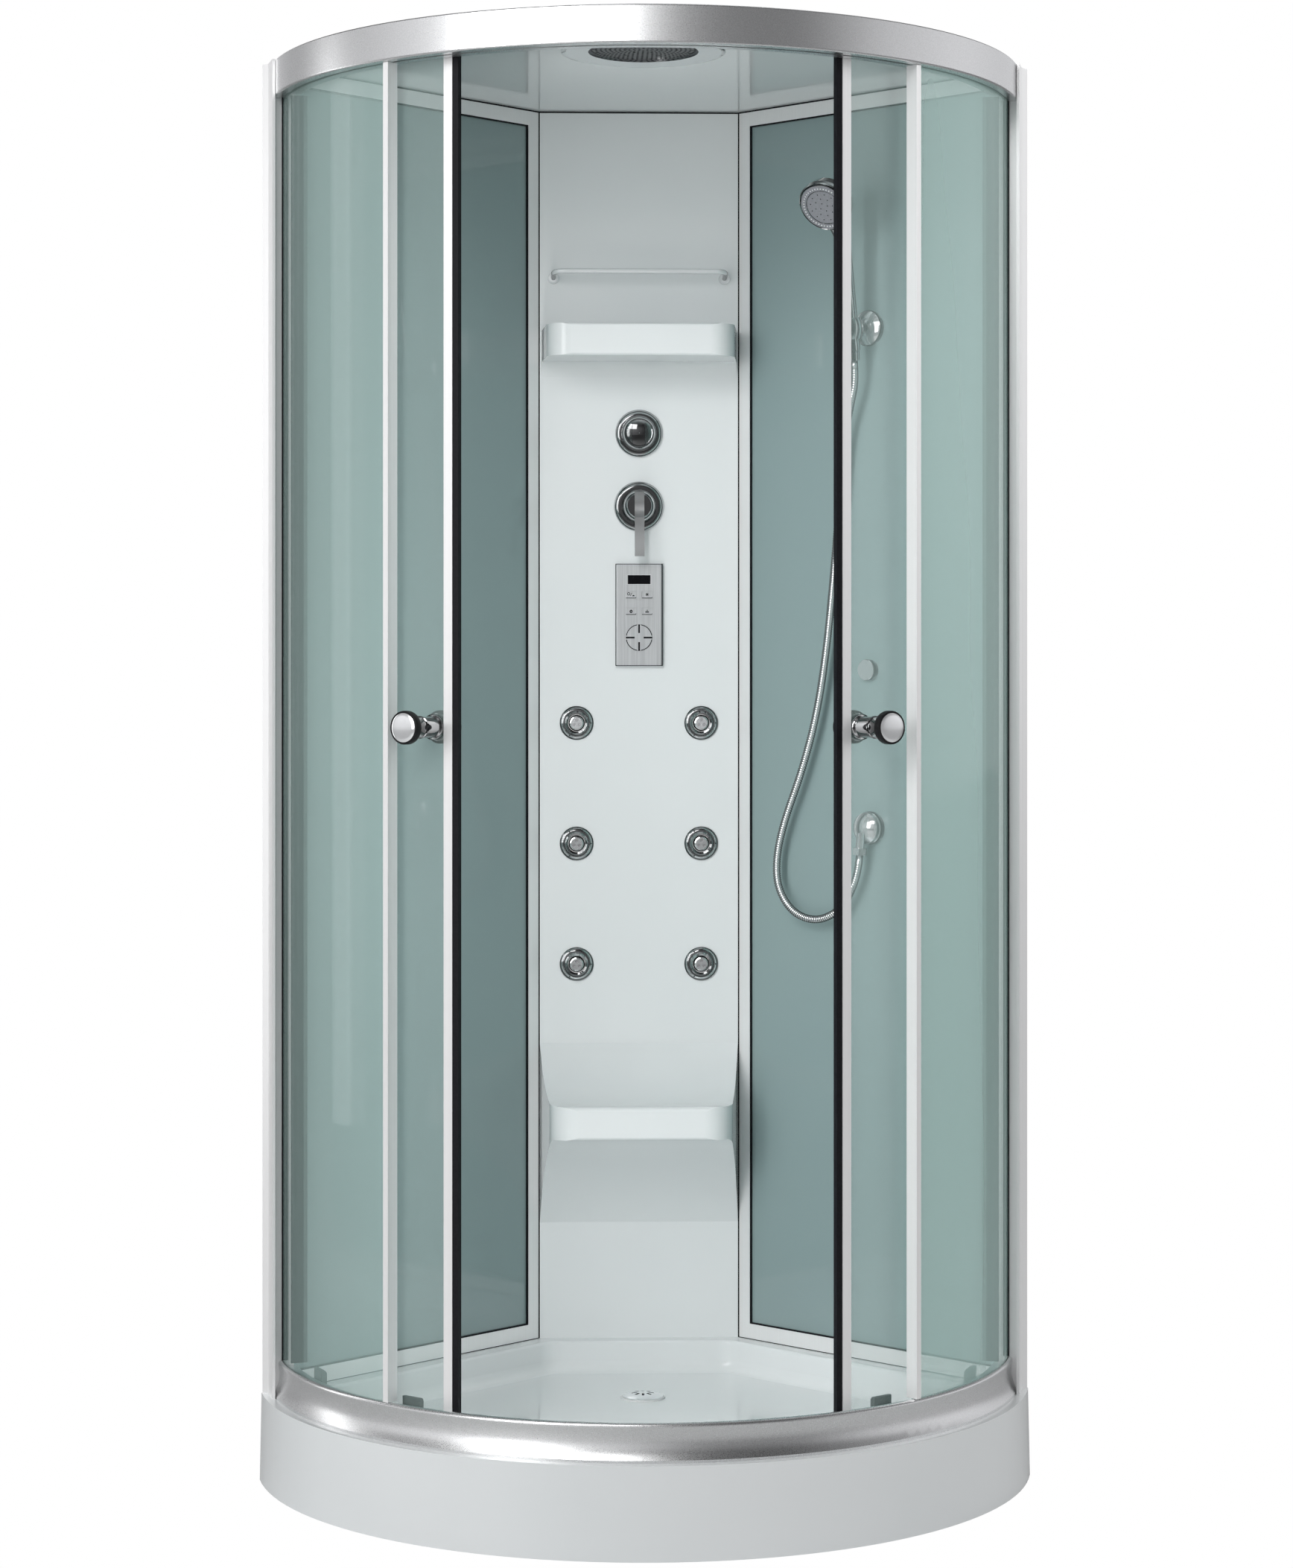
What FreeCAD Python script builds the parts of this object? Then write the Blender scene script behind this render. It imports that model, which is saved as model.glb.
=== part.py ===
import FreeCAD, Part
import math
import os
import re
import Sketcher
from FreeCAD import Placement, Rotation, Vector

# Steam shower cabin for a corner: a quadrant tray, two glazed walls, a moulded corner column with a
# shelf and a seat, a curved front of two fixed panes and two sliding doors between curved rails, and
# a flat roof with a rain shower.  Millimetres, +Z up.  The curved front faces -Y.
#
# Three frames are used.  The plan frame has its Z axis on the axis of the curved front, and an angle
# in it is counted from the front (-Y), positive towards +X.  The wall frame has its origin at the
# front end of a wall's inner face, X along the wall and Y square to it.  A fitting's own frame has Z
# pointing away from what carries it and Y up.

document = FreeCAD.newDocument("steam_cabin")
sheet = document.addObject("Spreadsheet::Sheet", "Sizes")

SIZES = (
    # whole cabin
    ("cabin_height", 2200, "floor to the top of the upper rail"),
    ("tray_side", 850, "each straight side of the tray"),
    ("back_reach", 490, "from the front's axis to the back corner"),
    ("corner_across", "=tray_side/sqrt(2)", "front corners, sideways from the middle"),
    ("corner_ahead", "=corner_across-back_reach", "front corners, ahead of the front's axis"),
    ("skirt_radius", "=sqrt(corner_across^2+corner_ahead^2)", "front of the tray at the floor"),
    ("axis_back", "=(skirt_radius-back_reach)/2", "the front's axis behind the middle of the plan"),
    # tray
    ("rim_height", 135, "top of the tray's rim"),
    ("skirt_draft", 3, "lean of the skirt"),
    ("basin_depth", 50.5, "rim down to the tray's floor"),
    ("basin_radius", "=rail_inner-17", "front edge of the basin"),
    ("basin_reach", "=back_reach-65", "sides of the basin, where X + Y is this"),
    ("basin_back", "=back_reach-218", "back edge of the basin"),
    ("basin_corner", 40, "upright corners of the basin"),
    ("basin_cove", 18, "foot of the basin's sides"),
    ("rim_round", 5, "edge of the rim into the basin"),
    ("tray_wall", 6, "thickness of the moulding"),
    ("drain_back", 70, "drain behind the front's axis"),
    ("drain_hole", 28.5, "radius of the hole in the tray"),
    ("waste_height", 30, "middle of the waste's outlet"),
    ("waste_radius", 19, "outlet of the waste"),
    # rails and panes
    ("rail_outer", "=skirt_radius-17.2", "outer radius of the upper rail"),
    ("rail_inner", "=rail_outer-36", "inner radius of both rails"),
    ("rail_end", "=45+asin(wall_reach/(sqrt(2)*post_outer))/1deg-2.14", "angle where the rails meet the posts"),
    ("lower_rail_height", 55.5, "lower rail above the rim"),
    ("upper_rail_height", 55.3, "upper rail below its top"),
    ("pane_inner", "=rail_outer-20", "inner radius of the fixed panes"),
    ("pane_thickness", 5, "thickness of all the curved glass"),
    ("door_inner", "=rail_inner-9", "inner radius of the doors' glass"),
    ("glass_gap", 0.3, "room between glass and the channel that holds it"),
    ("track_floor", 15.8, "roller track above the upper rail's underside"),
    ("track_height", 26.5, "height of the roller track"),
    ("track_depth", 13, "depth of the tracks into the rails"),
    ("guide_floor", 22, "guide slot above the rim"),
    ("guide_height", 20, "height of the guide slot"),
    # doors, angles counted from the doors' meeting line
    ("door_angle", 42.5, "leading edge to trailing edge"),
    ("left_rest", 30.6, "left door open, at rest"),
    ("right_rest", 28.5, "right door open, at rest"),
    ("seal_angle", 1.0, "width of the magnetic seal"),
    ("stile_angle", 1.55, "width of the doors' leading profile"),
    ("meeting_gap", 0.05, "half the gap between the closed doors"),
    ("stile_depth", 11, "leading profile, measured along the radius"),
    ("tail_angle", 0.25, "width of the trailing seal"),
    ("door_foot", 43, "bottom of the door glass above the rim"),
    ("door_head", 10, "top of the door glass below the rail's top"),
    ("roller_radius", 11, "wheel that hangs the door"),
    ("roller_width", 7, "width of that wheel"),
    ("pin_radius", 3, "axle of the wheel"),
    ("pin_room", 0.05, "running clearance on the axle"),
    ("roller_lead", 7, "front roller behind the leading edge, angle"),
    ("roller_trail", 37, "rear roller behind the leading edge, angle"),
    ("knob_angle", 4.6, "knob behind the leading edge"),
    ("knob_height", 1175, "middle of the knobs"),
    ("knob_reach", 74, "face of the outer knob off the glass"),
    ("knob_inner", 33, "face of the inner knob off the glass"),
    ("knob_radius", 24, "rubber ring of the knobs"),
    ("guide_lead", 9.5, "front guide behind the leading edge, angle"),
    ("guide_trail", 36, "rear guide behind the leading edge, angle"),
    ("guide_wide", 34, "width of a guide"),
    # fixed panes' profiles and posts
    ("profile_angle", 41.15, "free edge of the fixed panes' profile"),
    ("profile_width", 0.95, "width of that profile, angle"),
    ("profile_inner", "=pane_inner-7", "inner radius of that profile"),
    ("profile_depth", 20, "that profile, measured along the radius"),
    ("profile_web", 0.25, "closed side of that profile, angle"),
    ("post_inner", "=rail_inner+4", "inner radius of the posts"),
    ("post_outer", "=rail_outer+5", "outer radius of the posts"),
    ("post_lip", 1.9, "lip of the post over the rails' ends, angle"),
    ("post_gap", 0.06, "rail end to post, angle"),
    # walls
    ("wall_reach", "=back_reach-20.7", "inner faces of the walls, where X + Y is this"),
    ("wall_depth", 14, "depth of the wall frame"),
    ("frame_width", 26, "width of the wall frame's profiles"),
    ("wall_glass", 5, "thickness of the wall panels"),
    ("bar_joint", 0.1, "joint between the wall frame's profiles"),
    ("panel_bite", 18, "wall panel into the frame's channel"),
    # column
    ("column_front", "=back_reach-188", "face of the column behind the front's axis"),
    ("column_depth", 9.5, "depth of the column's edge flange"),
    ("column_skin", 4, "thickness of the column's moulding"),
    ("seat_ahead", 182, "seat ahead of the column's face"),
    ("seat_half", 151, "half the width of the seat"),
    ("seat_top", 546, "front edge of the seat"),
    ("seat_lip", 54, "height of the seat's front"),
    ("seat_corner", 48, "rounded corners of the seat in plan"),
    ("scoop_top", 632, "where the seat's scoop meets the column"),
    ("chin_foot", 330, "where the seat's underside meets the column"),
    ("shelf_ahead", 141, "shelf ahead of the column's face"),
    ("shelf_half", 156, "half the width of the shelf"),
    ("shelf_top", "=cabin_height-370", "top of the shelf"),
    ("shelf_lip", 53, "height of the shelf's front"),
    ("shelf_corner", 41, "rounded corners of the shelf in plan"),
    ("shelf_cove", 24, "cove under the shelf"),
    # fittings on the column
    ("diverter_height", "=shelf_top-172", "middle of the diverter"),
    ("diverter_radius", 40, "diverter's wall plate"),
    ("mixer_height", "=diverter_height-123", "middle of the mixer"),
    ("mixer_radius", 42, "mixer's wall plate"),
    ("boss_radius", 27, "body of the mixer's handle"),
    ("boss_length", 26, "that body off the wall plate"),
    ("spindle_radius", 9, "valve spindle through the column"),
    ("lever_reach", 85, "tip of the lever below the mixer's middle"),
    ("lever_width", 16, "width of the lever"),
    ("lever_thick", 8, "thickness of the lever"),
    ("control_height", "=mixer_height-182.4", "middle of the control panel"),
    ("control_half", 40, "half the width of the control panel"),
    ("control_tall", 172, "height of the control panel"),
    ("control_deep", 9, "control panel off the column"),
    ("key_across", 13.5, "keys off the middle"),
    ("key_wide", 18, "width of a key"),
    ("key_tall", 12, "height of a key"),
    ("key_travel", 0.8, "press of a key"),
    ("key_high", "=control_height+33.2", "upper row of keys"),
    ("key_low", "=control_height+5.6", "lower row of keys"),
    ("pad_height", "=control_height-38.3", "middle of the round pad"),
    ("pad_radius", 22.4, "radius of the round pad"),
    ("display_height", "=control_height+59.2", "middle of the display"),
    ("display_wide", 38, "width of the display"),
    ("display_tall", 15, "height of the display"),
    ("jet_across", 105, "body jets off the middle"),
    ("jet_low", 764.6, "lowest body jets"),
    ("jet_pitch", 203, "rows of body jets"),
    ("jet_radius", 28.5, "bezel of a body jet"),
    ("jet_ball", 14, "ball of a body jet"),
    ("rail_bar_height", "=shelf_top+89", "towel rail"),
    ("rail_bar_half", 144, "feet of the towel rail off the middle"),
    ("rail_bar_ahead", 52, "towel rail ahead of the column"),
    ("rail_bar_lift", 7, "slope of the towel rail up from its feet"),
    ("rail_bar_radius", 4.2, "tube of the towel rail"),
    # roof
    ("roof_skin", 4, "thickness of the roof"),
    ("roof_reach", "=back_reach-6", "sides of the roof, where X + Y is this"),
    ("roof_radius", "=rail_outer-19", "front of the roof"),
    ("roof_back", "=column_front+20", "back edge of the roof"),
    ("roof_rib", 16, "height of the roof's stiffening rib"),
    ("rain_ahead", 236, "rain shower ahead of the front's axis"),
    ("rain_across", -8, "rain shower off the middle"),
    ("rain_ring", 125, "outer radius of the rain shower's ring"),
    ("rain_plate", 86, "radius of the perforated plate"),
    ("rain_chamber", 97, "outer radius of the rain shower's chamber"),
    # fittings on the right wall, along the wall from its front end
    ("fitting_along", 310.5, "middle of the fittings"),
    ("wall_set", 4.2, "fittings reach back past the wall frame's face to the glass"),
    ("holder_height", "=cabin_height-384.5", "hand shower's wall disc"),
    ("holder_radius", 29, "radius of that disc"),
    ("holder_off", 43, "middle of the holder's cradle off the wall"),
    ("cradle_radius", 19, "cradle of the holder at its middle"),
    ("cradle_reach", 30, "room above and below the cradle for its bore and mouth"),
    ("handset_lean", 8, "lean of the hand shower into the cabin"),
    ("handset_swing", 12, "turn of the hand shower towards the front"),
    ("handset_below", 36, "handle below the cradle"),
    ("collar_above", 128, "handle above the cradle, up to the neck"),
    ("handset_above", 189, "middle of the spray face above the cradle"),
    ("head_ahead", 56, "middle of the spray face ahead of the handle"),
    ("handle_radius", 12, "handle in the cradle"),
    ("head_radius", 44, "hand shower's head"),
    ("head_drop", 38, "the spray face looks down by this angle"),
    ("cap_height", "=elbow_height+257.1", "round cap"),
    ("cap_radius", 17, "radius of the round cap"),
    ("elbow_height", "=holder_height-813.2", "wall outlet of the hose"),
    ("elbow_along", "=fitting_along-4", "middle of the wall outlet"),
    ("elbow_radius", 27, "wall disc of the outlet"),
    ("elbow_off", 22, "hose's axis off the wall at the outlet"),
    ("elbow_drop", 43, "mouth of the outlet below its middle"),
    ("elbow_turn", 5, "turn of the outlet's spout on the wall"),
    ("cap_thick", 8, "thickness of the round cap"),
    ("hose_radius", 6.5, "hose over its ribs"),
    ("hose_valley", 5.6, "hose between its ribs"),
    ("hose_bore", 3.6, "bore of the hose"),
    ("hose_gap", 0.3, "room between the hose and the pieces it meets"),
    ("hose_lead", 30, "straight stretch at each end of the hose"),
)

for row, (name, size, note) in enumerate(SIZES, 1):
    sheet.set("A%d" % row, name)
    sheet.set("B%d" % row, str(size))
    sheet.set("C%d" % row, note)
    sheet.setAlias("B%d" % row, name)
document.recompute()

ALIASES = {name for name, size, note in SIZES}
WORD = re.compile(r"[A-Za-z_]+")


def value(text):
    """The number that an expression of sizes stands for."""
    return float(sheet.evalExpression(str(text)))


def linked(text):
    """The expression as another object of the document has to write it."""
    def swap(match):
        return "Sizes." + match.group() if match.group() in ALIASES else match.group()
    return WORD.sub(swap, str(text))


def bind(thing, prop, text):
    thing.setExpression(prop, linked(text))


# ---------------------------------------------------------------- sketches and features

PLAN = Placement(Vector(0, value("axis_back"), 0), Rotation())


def new_body(label, place=None):
    made = document.addObject("PartDesign::Body", label)
    made.Label = label
    made.Placement = place or PLAN
    return made


def new_sketch(body, plane, name, lift=None):
    """A sketch on one of the body's own planes, lifted along the plane's normal."""
    drawn = body.newObject("Sketcher::SketchObject", name)
    role = [one for one in body.Origin.OriginFeatures if one.Role == plane][0]
    drawn.AttachmentSupport = (role, [""])
    drawn.MapMode = "FlatFace"
    if lift is not None:
        bind(drawn, "AttachmentOffset.Base.z", lift)
    return drawn


def pin_point(sketch, edge, end, x, y):
    """Ties an end of an edge to a place given by two expressions."""
    for kind, axis, text in (("DistanceX", -2, x), ("DistanceY", -1, y)):
        number = value(text)
        if abs(number) < 1e-9:
            sketch.addConstraint(Sketcher.Constraint("PointOnObject", edge, end, axis))
        else:
            index = sketch.addConstraint(Sketcher.Constraint(kind, -1, 1, edge, end, number))
            bind(sketch, "Constraints[%d]" % index, text)


def outline(sketch, corners):
    """A closed outline.  A corner is (x, y), or (x, y, radius, side) where an arc leaves it and
    bulges to that side of the way ahead."""
    first = sketch.GeometryCount
    spots = [Vector(value(one[0]), value(one[1]), 0) for one in corners]
    ends = []
    for index, corner in enumerate(corners):
        start = spots[index]
        stop = spots[(index + 1) % len(spots)]
        if len(corner) == 2:
            sketch.addGeometry(Part.LineSegment(start, stop), False)
            ends.append((1, 2))
            continue
        way = stop - start
        left = Vector(-way.y, way.x, 0).normalize()
        radius = value(corner[2])
        rise = radius - math.sqrt(radius ** 2 - (way.Length / 2) ** 2)
        if corner[3] == "left":
            sketch.addGeometry(Part.Arc(stop, (start + stop) * 0.5 + left * rise, start), False)
            ends.append((2, 1))
        else:
            sketch.addGeometry(Part.Arc(start, (start + stop) * 0.5 - left * rise, stop), False)
            ends.append((1, 2))
    count = len(corners)
    joins = [Sketcher.Constraint("Coincident", first + (index - 1) % count,
                                 ends[(index - 1) % count][1], first + index, ends[index][0])
             for index in range(count)]
    sketch.addConstraint(joins)
    for index, corner in enumerate(corners):
        pin_point(sketch, first + index, ends[index][0], corner[0], corner[1])
    for index, corner in enumerate(corners):
        if len(corner) > 2:
            number = sketch.addConstraint(
                Sketcher.Constraint("Radius", first + index, value(corner[2])))
            bind(sketch, "Constraints[%d]" % number, corner[2])


def circle(sketch, x, y, radius):
    edge = sketch.addGeometry(
        Part.Circle(Vector(value(x), value(y), 0), Vector(0, 0, 1), value(radius)), False)
    pin_point(sketch, edge, 3, x, y)
    number = sketch.addConstraint(Sketcher.Constraint("Radius", edge, value(radius)))
    bind(sketch, "Constraints[%d]" % number, radius)


def dome(radius, foot, rise):
    """The last two corners of a turned outline that closes over the axis as part of a ball."""
    return [(radius, foot, "((%s)^2+(%s)^2)/(2*(%s))" % (radius, rise, rise), "right"),
            ("0", "(%s)+(%s)" % (foot, rise))]


def box_outline(x_low, x_high, y_low, y_high):
    return [(x_low, y_low), (x_high, y_low), (x_high, y_high), (x_low, y_high)]


def extrude(body, kind, sketch, length, reverse=False, both_ways=False):
    made = body.newObject("PartDesign::" + kind, kind + "_" + sketch.Name)
    made.Profile = sketch
    bind(made, "Length", length)
    made.Reversed = reverse
    made.Midplane = both_ways
    return made


def turn(body, kind, sketch, angle="360", reverse=False):
    made = body.newObject("PartDesign::" + kind, kind + "_" + sketch.Name)
    made.Profile = sketch
    made.ReferenceAxis = (sketch, ["V_Axis"])
    bind(made, "Angle", angle)
    made.Reversed = reverse
    return made


def around(body, feature, count, sketch):
    """Repeats a feature evenly about the body's own Z axis."""
    made = body.newObject("PartDesign::PolarPattern", "Around_" + feature.Name)
    made.Originals = [feature]
    made.Axis = (sketch, ["N_Axis"])
    made.Angle = 360
    made.Occurrences = count
    body.Tip = made
    return made


def round_edges(body, feature, radius, test):
    """Rounds the edges of the body's last feature that pass a test on their middle and their box."""
    document.recompute()
    names = ["Edge%d" % number for number, edge in enumerate(feature.Shape.Edges, 1)
             if test(edge.CenterOfMass, edge.BoundBox)]
    made = body.newObject("PartDesign::Fillet", "Round_" + feature.Name)
    made.Base = (feature, names)
    bind(made, "Radius", radius)
    return made


def group(label, things):
    made = document.addObject("Part::Compound", label)
    made.Links = things
    made.Label = label
    return made


def cut(label, base, tool):
    made = document.addObject("Part::Cut", label)
    made.Base = base
    made.Tool = tool
    made.Label = label
    return made


def fuse(label, things):
    made = document.addObject("Part::MultiFuse", label)
    made.Shapes = things
    made.Label = label
    return made


def rod(label, radius, length, place):
    made = document.addObject("Part::Cylinder", label)
    bind(made, "Radius", radius)
    bind(made, "Height", length)
    made.Placement = place
    return made


def block(label, sizes, corner, frame=PLAN):
    """A box whose low corner stands at a place in a frame."""
    made = document.addObject("Part::Box", label)
    for prop, text in zip(("Length", "Width", "Height"), sizes):
        bind(made, prop, text)
    made.Placement = frame.multiply(Placement(Vector(*[value(one) for one in corner]), Rotation()))
    return made


# ---------------------------------------------------------------- places

def polar(angle, radius):
    """A point of the plan as two expressions."""
    return "(%s)*sin(%s)" % (radius, angle), "-(%s)*cos(%s)" % (radius, angle)


def facing(spot, normal, up=Vector(0, 0, 1)):
    """A fitting's frame: Z along the normal, Y as near to up as it can be."""
    side = up.cross(normal)
    turned = Rotation(side, normal.cross(side), normal, "ZYX")
    return PLAN.multiply(Placement(spot, turned))


def on_front(angle, radius, height):
    """The frame of what sits on the curved front, at an angle and a radius."""
    bearing = math.radians(value(angle))
    out = Vector(math.sin(bearing), -math.cos(bearing), 0)
    return facing(out * value(radius) + Vector(0, 0, value(height)), out)


def on_column(across, height, ahead="0"):
    """The frame of what sits on the column's face."""
    spot = Vector(value(across), value("column_front") - value(ahead), value(height))
    return facing(spot, Vector(0, -1, 0))


def wall_end(reach, radius):
    """Where a wall's line meets a circle of the front, as two expressions for the right side."""
    across = "((%s)+sqrt(2*(%s)^2-(%s)^2))/2" % (reach, radius, reach)
    return across, "(%s)-(%s)" % (reach, across)


WALL_START = [value(text) for text in wall_end("wall_reach", "post_outer")]
WALL_LENGTH = "(%s-(wall_reach-column_front))*sqrt(2)" % wall_end("wall_reach", "post_outer")[0]


def wall_frame_place(side):
    """The wall frame of the right (1) or left (-1) wall."""
    turned = Rotation(Vector(0, 0, 1), 135 if side > 0 else 45)
    return PLAN.multiply(Placement(Vector(side * WALL_START[0], WALL_START[1], 0), turned))


def wall_spot(along, off, height):
    """A point of the right wall's inner side, in the plan."""
    slant = math.sqrt(0.5)
    return Vector(WALL_START[0] - (along + off) * slant,
                  WALL_START[1] + (along - off) * slant, height)


INWARD = Vector(-1, -1, 0).normalize()


def on_wall(along, height, off="0"):
    """The frame of what sits on the right wall."""
    return facing(wall_spot(value(along), value(off), value(height)), INWARD)


def arc_bar(label, corners, start, sweep, channel=None, channel_sweep=None):
    """A bar that follows the curved front: an outline of (radius, height) turned from an angle
    through a sweep.  A negative sweep goes the other way.  A channel is cut from the same end."""
    place = PLAN.multiply(Placement(Vector(), Rotation(Vector(0, 0, 1), value(start) - 90)))
    body = new_body(label, place)
    back = value(sweep) < 0
    drawn = new_sketch(body, "XZ_Plane", label + "_section")
    outline(drawn, corners)
    turn(body, "Revolution", drawn, "abs(%s)" % sweep, back)
    if channel:
        slot = new_sketch(body, "XZ_Plane", label + "_channel")
        outline(slot, channel)
        turn(body, "Groove", slot, "abs(%s)" % channel_sweep, back)
    return body


def spun(label, corners, place):
    """A turned piece: an outline of (radius, height) about the frame's Z axis."""
    body = new_body(label, place)
    drawn = new_sketch(body, "XZ_Plane", label + "_profile")
    outline(drawn, corners)
    turn(body, "Revolution", drawn)
    return body


# ---------------------------------------------------------------- tray

def quadrant(reach, radius, back=None):
    """The plan of a corner unit: two sides where X + Y is reach, and the curved front.  With a
    back, the corner is cut straight there."""
    across, ahead = wall_end(reach, radius)
    front = [(across, ahead, radius, "left"), ("-(%s)" % across, ahead)]
    if back is None:
        return [("0", reach)] + front
    return [("(%s)-(%s)" % (reach, back), back)] + front + [("(%s)-(%s)" % (back, reach), back)]


FLOOR = "rim_height-basin_depth"


def make_tray():
    """One moulding: skirt, rim and basin, hollow underneath."""
    body = new_body("tray")
    plan = new_sketch(body, "XY_Plane", "tray_plan")
    outline(plan, quadrant("back_reach", "skirt_radius"))
    extrude(body, "Pad", plan, "rim_height")
    slope = new_sketch(body, "XZ_Plane", "tray_slope")
    outline(slope, [("skirt_radius", "0"), ("skirt_radius-skirt_draft", "rim_height"),
                    ("skirt_radius-skirt_draft", "rim_height+1"),
                    ("skirt_radius+20", "rim_height+1"), ("skirt_radius+20", "0")])
    turn(body, "Groove", slope)
    basin = new_sketch(body, "XY_Plane", "tray_basin", "rim_height")
    outline(basin, quadrant("basin_reach", "basin_radius", "basin_back"))
    hollow = extrude(body, "Pocket", basin, "basin_depth")
    floor = value(FLOOR)
    rim = value("rim_height")
    inside = value("basin_radius") + 1
    corners = round_edges(body, hollow, "basin_corner", lambda middle, box:
                          box.ZLength > value("basin_depth") - 1 and middle.z > floor
                          and math.hypot(middle.x, middle.y - value("axis_back")) < inside)
    cove = round_edges(body, corners, "basin_cove", lambda middle, box:
                       box.ZLength < 1e-6 and abs(middle.z - floor) < 1e-6)
    round_edges(body, cove, "rim_round", lambda middle, box: box.ZLength < 1e-6
                and abs(middle.z - rim) < 1e-6 and box.YMin > -inside + value("axis_back")
                and box.YMax < value("basin_back+axis_back") + 1
                and box.XMax < inside and box.XMin > -inside)
    under = new_sketch(body, "XY_Plane", "tray_under")
    inner_reach = "back_reach-tray_wall*sqrt(2)"
    inner_radius = "skirt_radius-skirt_draft-tray_wall"
    outline(under, quadrant(inner_reach, inner_radius))
    extrude(body, "Pocket", under, FLOOR + "-tray_wall", reverse=True)
    ring = new_sketch(body, "XY_Plane", "tray_rim_under", FLOOR + "-tray_wall")
    outline(ring, quadrant(inner_reach, inner_radius))
    outline(ring, quadrant("basin_reach+tray_wall*sqrt(2)", "basin_radius+tray_wall",
                           "basin_back+tray_wall"))
    extrude(body, "Pocket", ring, "basin_depth", reverse=True)
    hole = new_sketch(body, "XY_Plane", "tray_hole")
    circle(hole, "0", "drain_back", "drain_hole")
    extrude(body, "Pocket", hole, "rim_height", reverse=True)
    return body


TUBE = "25"
TUBE_FOOT = FLOOR + "-tray_wall-" + TUBE
FOOT_SPOTS = ((-400, -250), (0, -250), (400, -250), (-240, 165), (240, 165))


def make_tray_frame():
    """Square steel tubes under the tray: two across and two along between them."""
    half = value(TUBE) / 2
    front, back = FOOT_SPOTS[0][1], FOOT_SPOTS[3][1]
    bars = []
    for name, reach, middle in (("front", 430, front), ("back", 275, back)):
        bars.append(("across_" + name, (2 * reach, TUBE, TUBE), (-reach, middle - half)))
    for name, across in (("left", -200), ("right", 200)):
        bars.append(("along_" + name, (TUBE, back - front - 2 * half, TUBE),
                     (across - half, front + half)))
    tubes = [block("tube_" + name, sizes, (corner[0], corner[1], TUBE_FOOT))
             for name, sizes, corner in bars]
    return fuse("tray_frame", tubes)


def make_feet():
    """Levelling feet, screwed up into the tubes."""
    feet = []
    for number, (across, along) in enumerate(FOOT_SPOTS, 1):
        place = PLAN.multiply(Placement(Vector(across, along, 0), Rotation()))
        feet.append(spun("foot_%d" % number, [
            ("0", "0"), ("22", "0"), ("22", "5"), ("16", "9"), ("5", "9"), ("5", "36"),
            ("10", "36"), ("10", "44"), ("5", "44"), ("5", TUBE_FOOT), ("0", TUBE_FOOT)], place))
    return group("levelling_feet", feet)


def make_waste():
    """Flange on the tray's floor, cup and trap below it, and an outlet with a collar towards the
    back corner."""
    stand = PLAN.multiply(Placement(Vector(0, value("drain_back"), 0), Rotation()))
    tail = PLAN.multiply(Placement(Vector(0, value("drain_back"), value("waste_height")),
                                   Rotation(Vector(1, 0, 0), -90)))
    foot = value("waste_height-waste_radius-2")
    solid = fuse("waste_solid", [
        rod("waste_flange", "36", "2.5", stand.multiply(Placement(Vector(0, 0, value(FLOOR)),
                                                                  Rotation()))),
        rod("waste_cup", "drain_hole-0.5", FLOOR + "-(waste_height-waste_radius-2)",
            stand.multiply(Placement(Vector(0, 0, foot), Rotation()))),
        rod("waste_collar", "waste_radius+2.5", "36", tail),
        rod("waste_tail", "waste_radius", "130", tail)])
    hollow = fuse("waste_hollow", [
        rod("waste_bore", "24", "rim_height",
            stand.multiply(Placement(Vector(0, 0, foot + 4), Rotation()))),
        rod("waste_tail_bore", "waste_radius-2.5", "131", tail)])
    return cut("waste_trap", solid, hollow)


def make_drain_cover():
    """Domed chrome cover with radial slots and a spigot into the waste."""
    place = PLAN.multiply(Placement(Vector(0, value("drain_back"), value(FLOOR) + 2.5), Rotation()))
    body = spun("drain_cover", [
        ("0", "2"), ("20", "2"), ("20", "-8"), ("23.5", "-8"), ("23.5", "0"), ("33", "0")]
        + dome("33", "1.2", "5.2"), place)
    slots = new_sketch(body, "XY_Plane", "drain_slots", "8")
    outline(slots, box_outline("9", "18", "-2", "2"))
    made = extrude(body, "Pocket", slots, "12")
    around(body, made, 8, slots)
    return body


# ---------------------------------------------------------------- rails, posts and glass

LEDGE = "rim_height+lower_rail_height-8"
LOWER_TOP = "rim_height+lower_rail_height"
UPPER_FOOT = "cabin_height-upper_rail_height"
SLOT_TOP = UPPER_FOOT + "+13.5"
RAIL_SWEEP = "2*rail_end"


def make_lower_rail():
    """Cove-faced aluminium rail on the tray's rim, with a bead, a ledge for the panes and a slot
    for the doors' guides."""
    foot = "rim_height"
    slot = foot + "+guide_floor"
    deep = "rail_inner+track_depth"
    return arc_bar("lower_rail", [
        ("rail_inner", foot), ("rail_outer-1", foot),
        ("rail_outer-1", foot + "+4", "60", "left"),
        ("rail_outer-8", LOWER_TOP + "-6.5", "5.6", "right"),
        ("pane_inner+pane_thickness+glass_gap", LOWER_TOP + "-0.3"),
        ("pane_inner+pane_thickness+glass_gap", LEDGE), ("rail_inner", LEDGE),
        ("rail_inner", slot + "+guide_height"), (deep, slot + "+guide_height"),
        (deep, slot), ("rail_inner", slot)], "-rail_end", RAIL_SWEEP)


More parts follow.
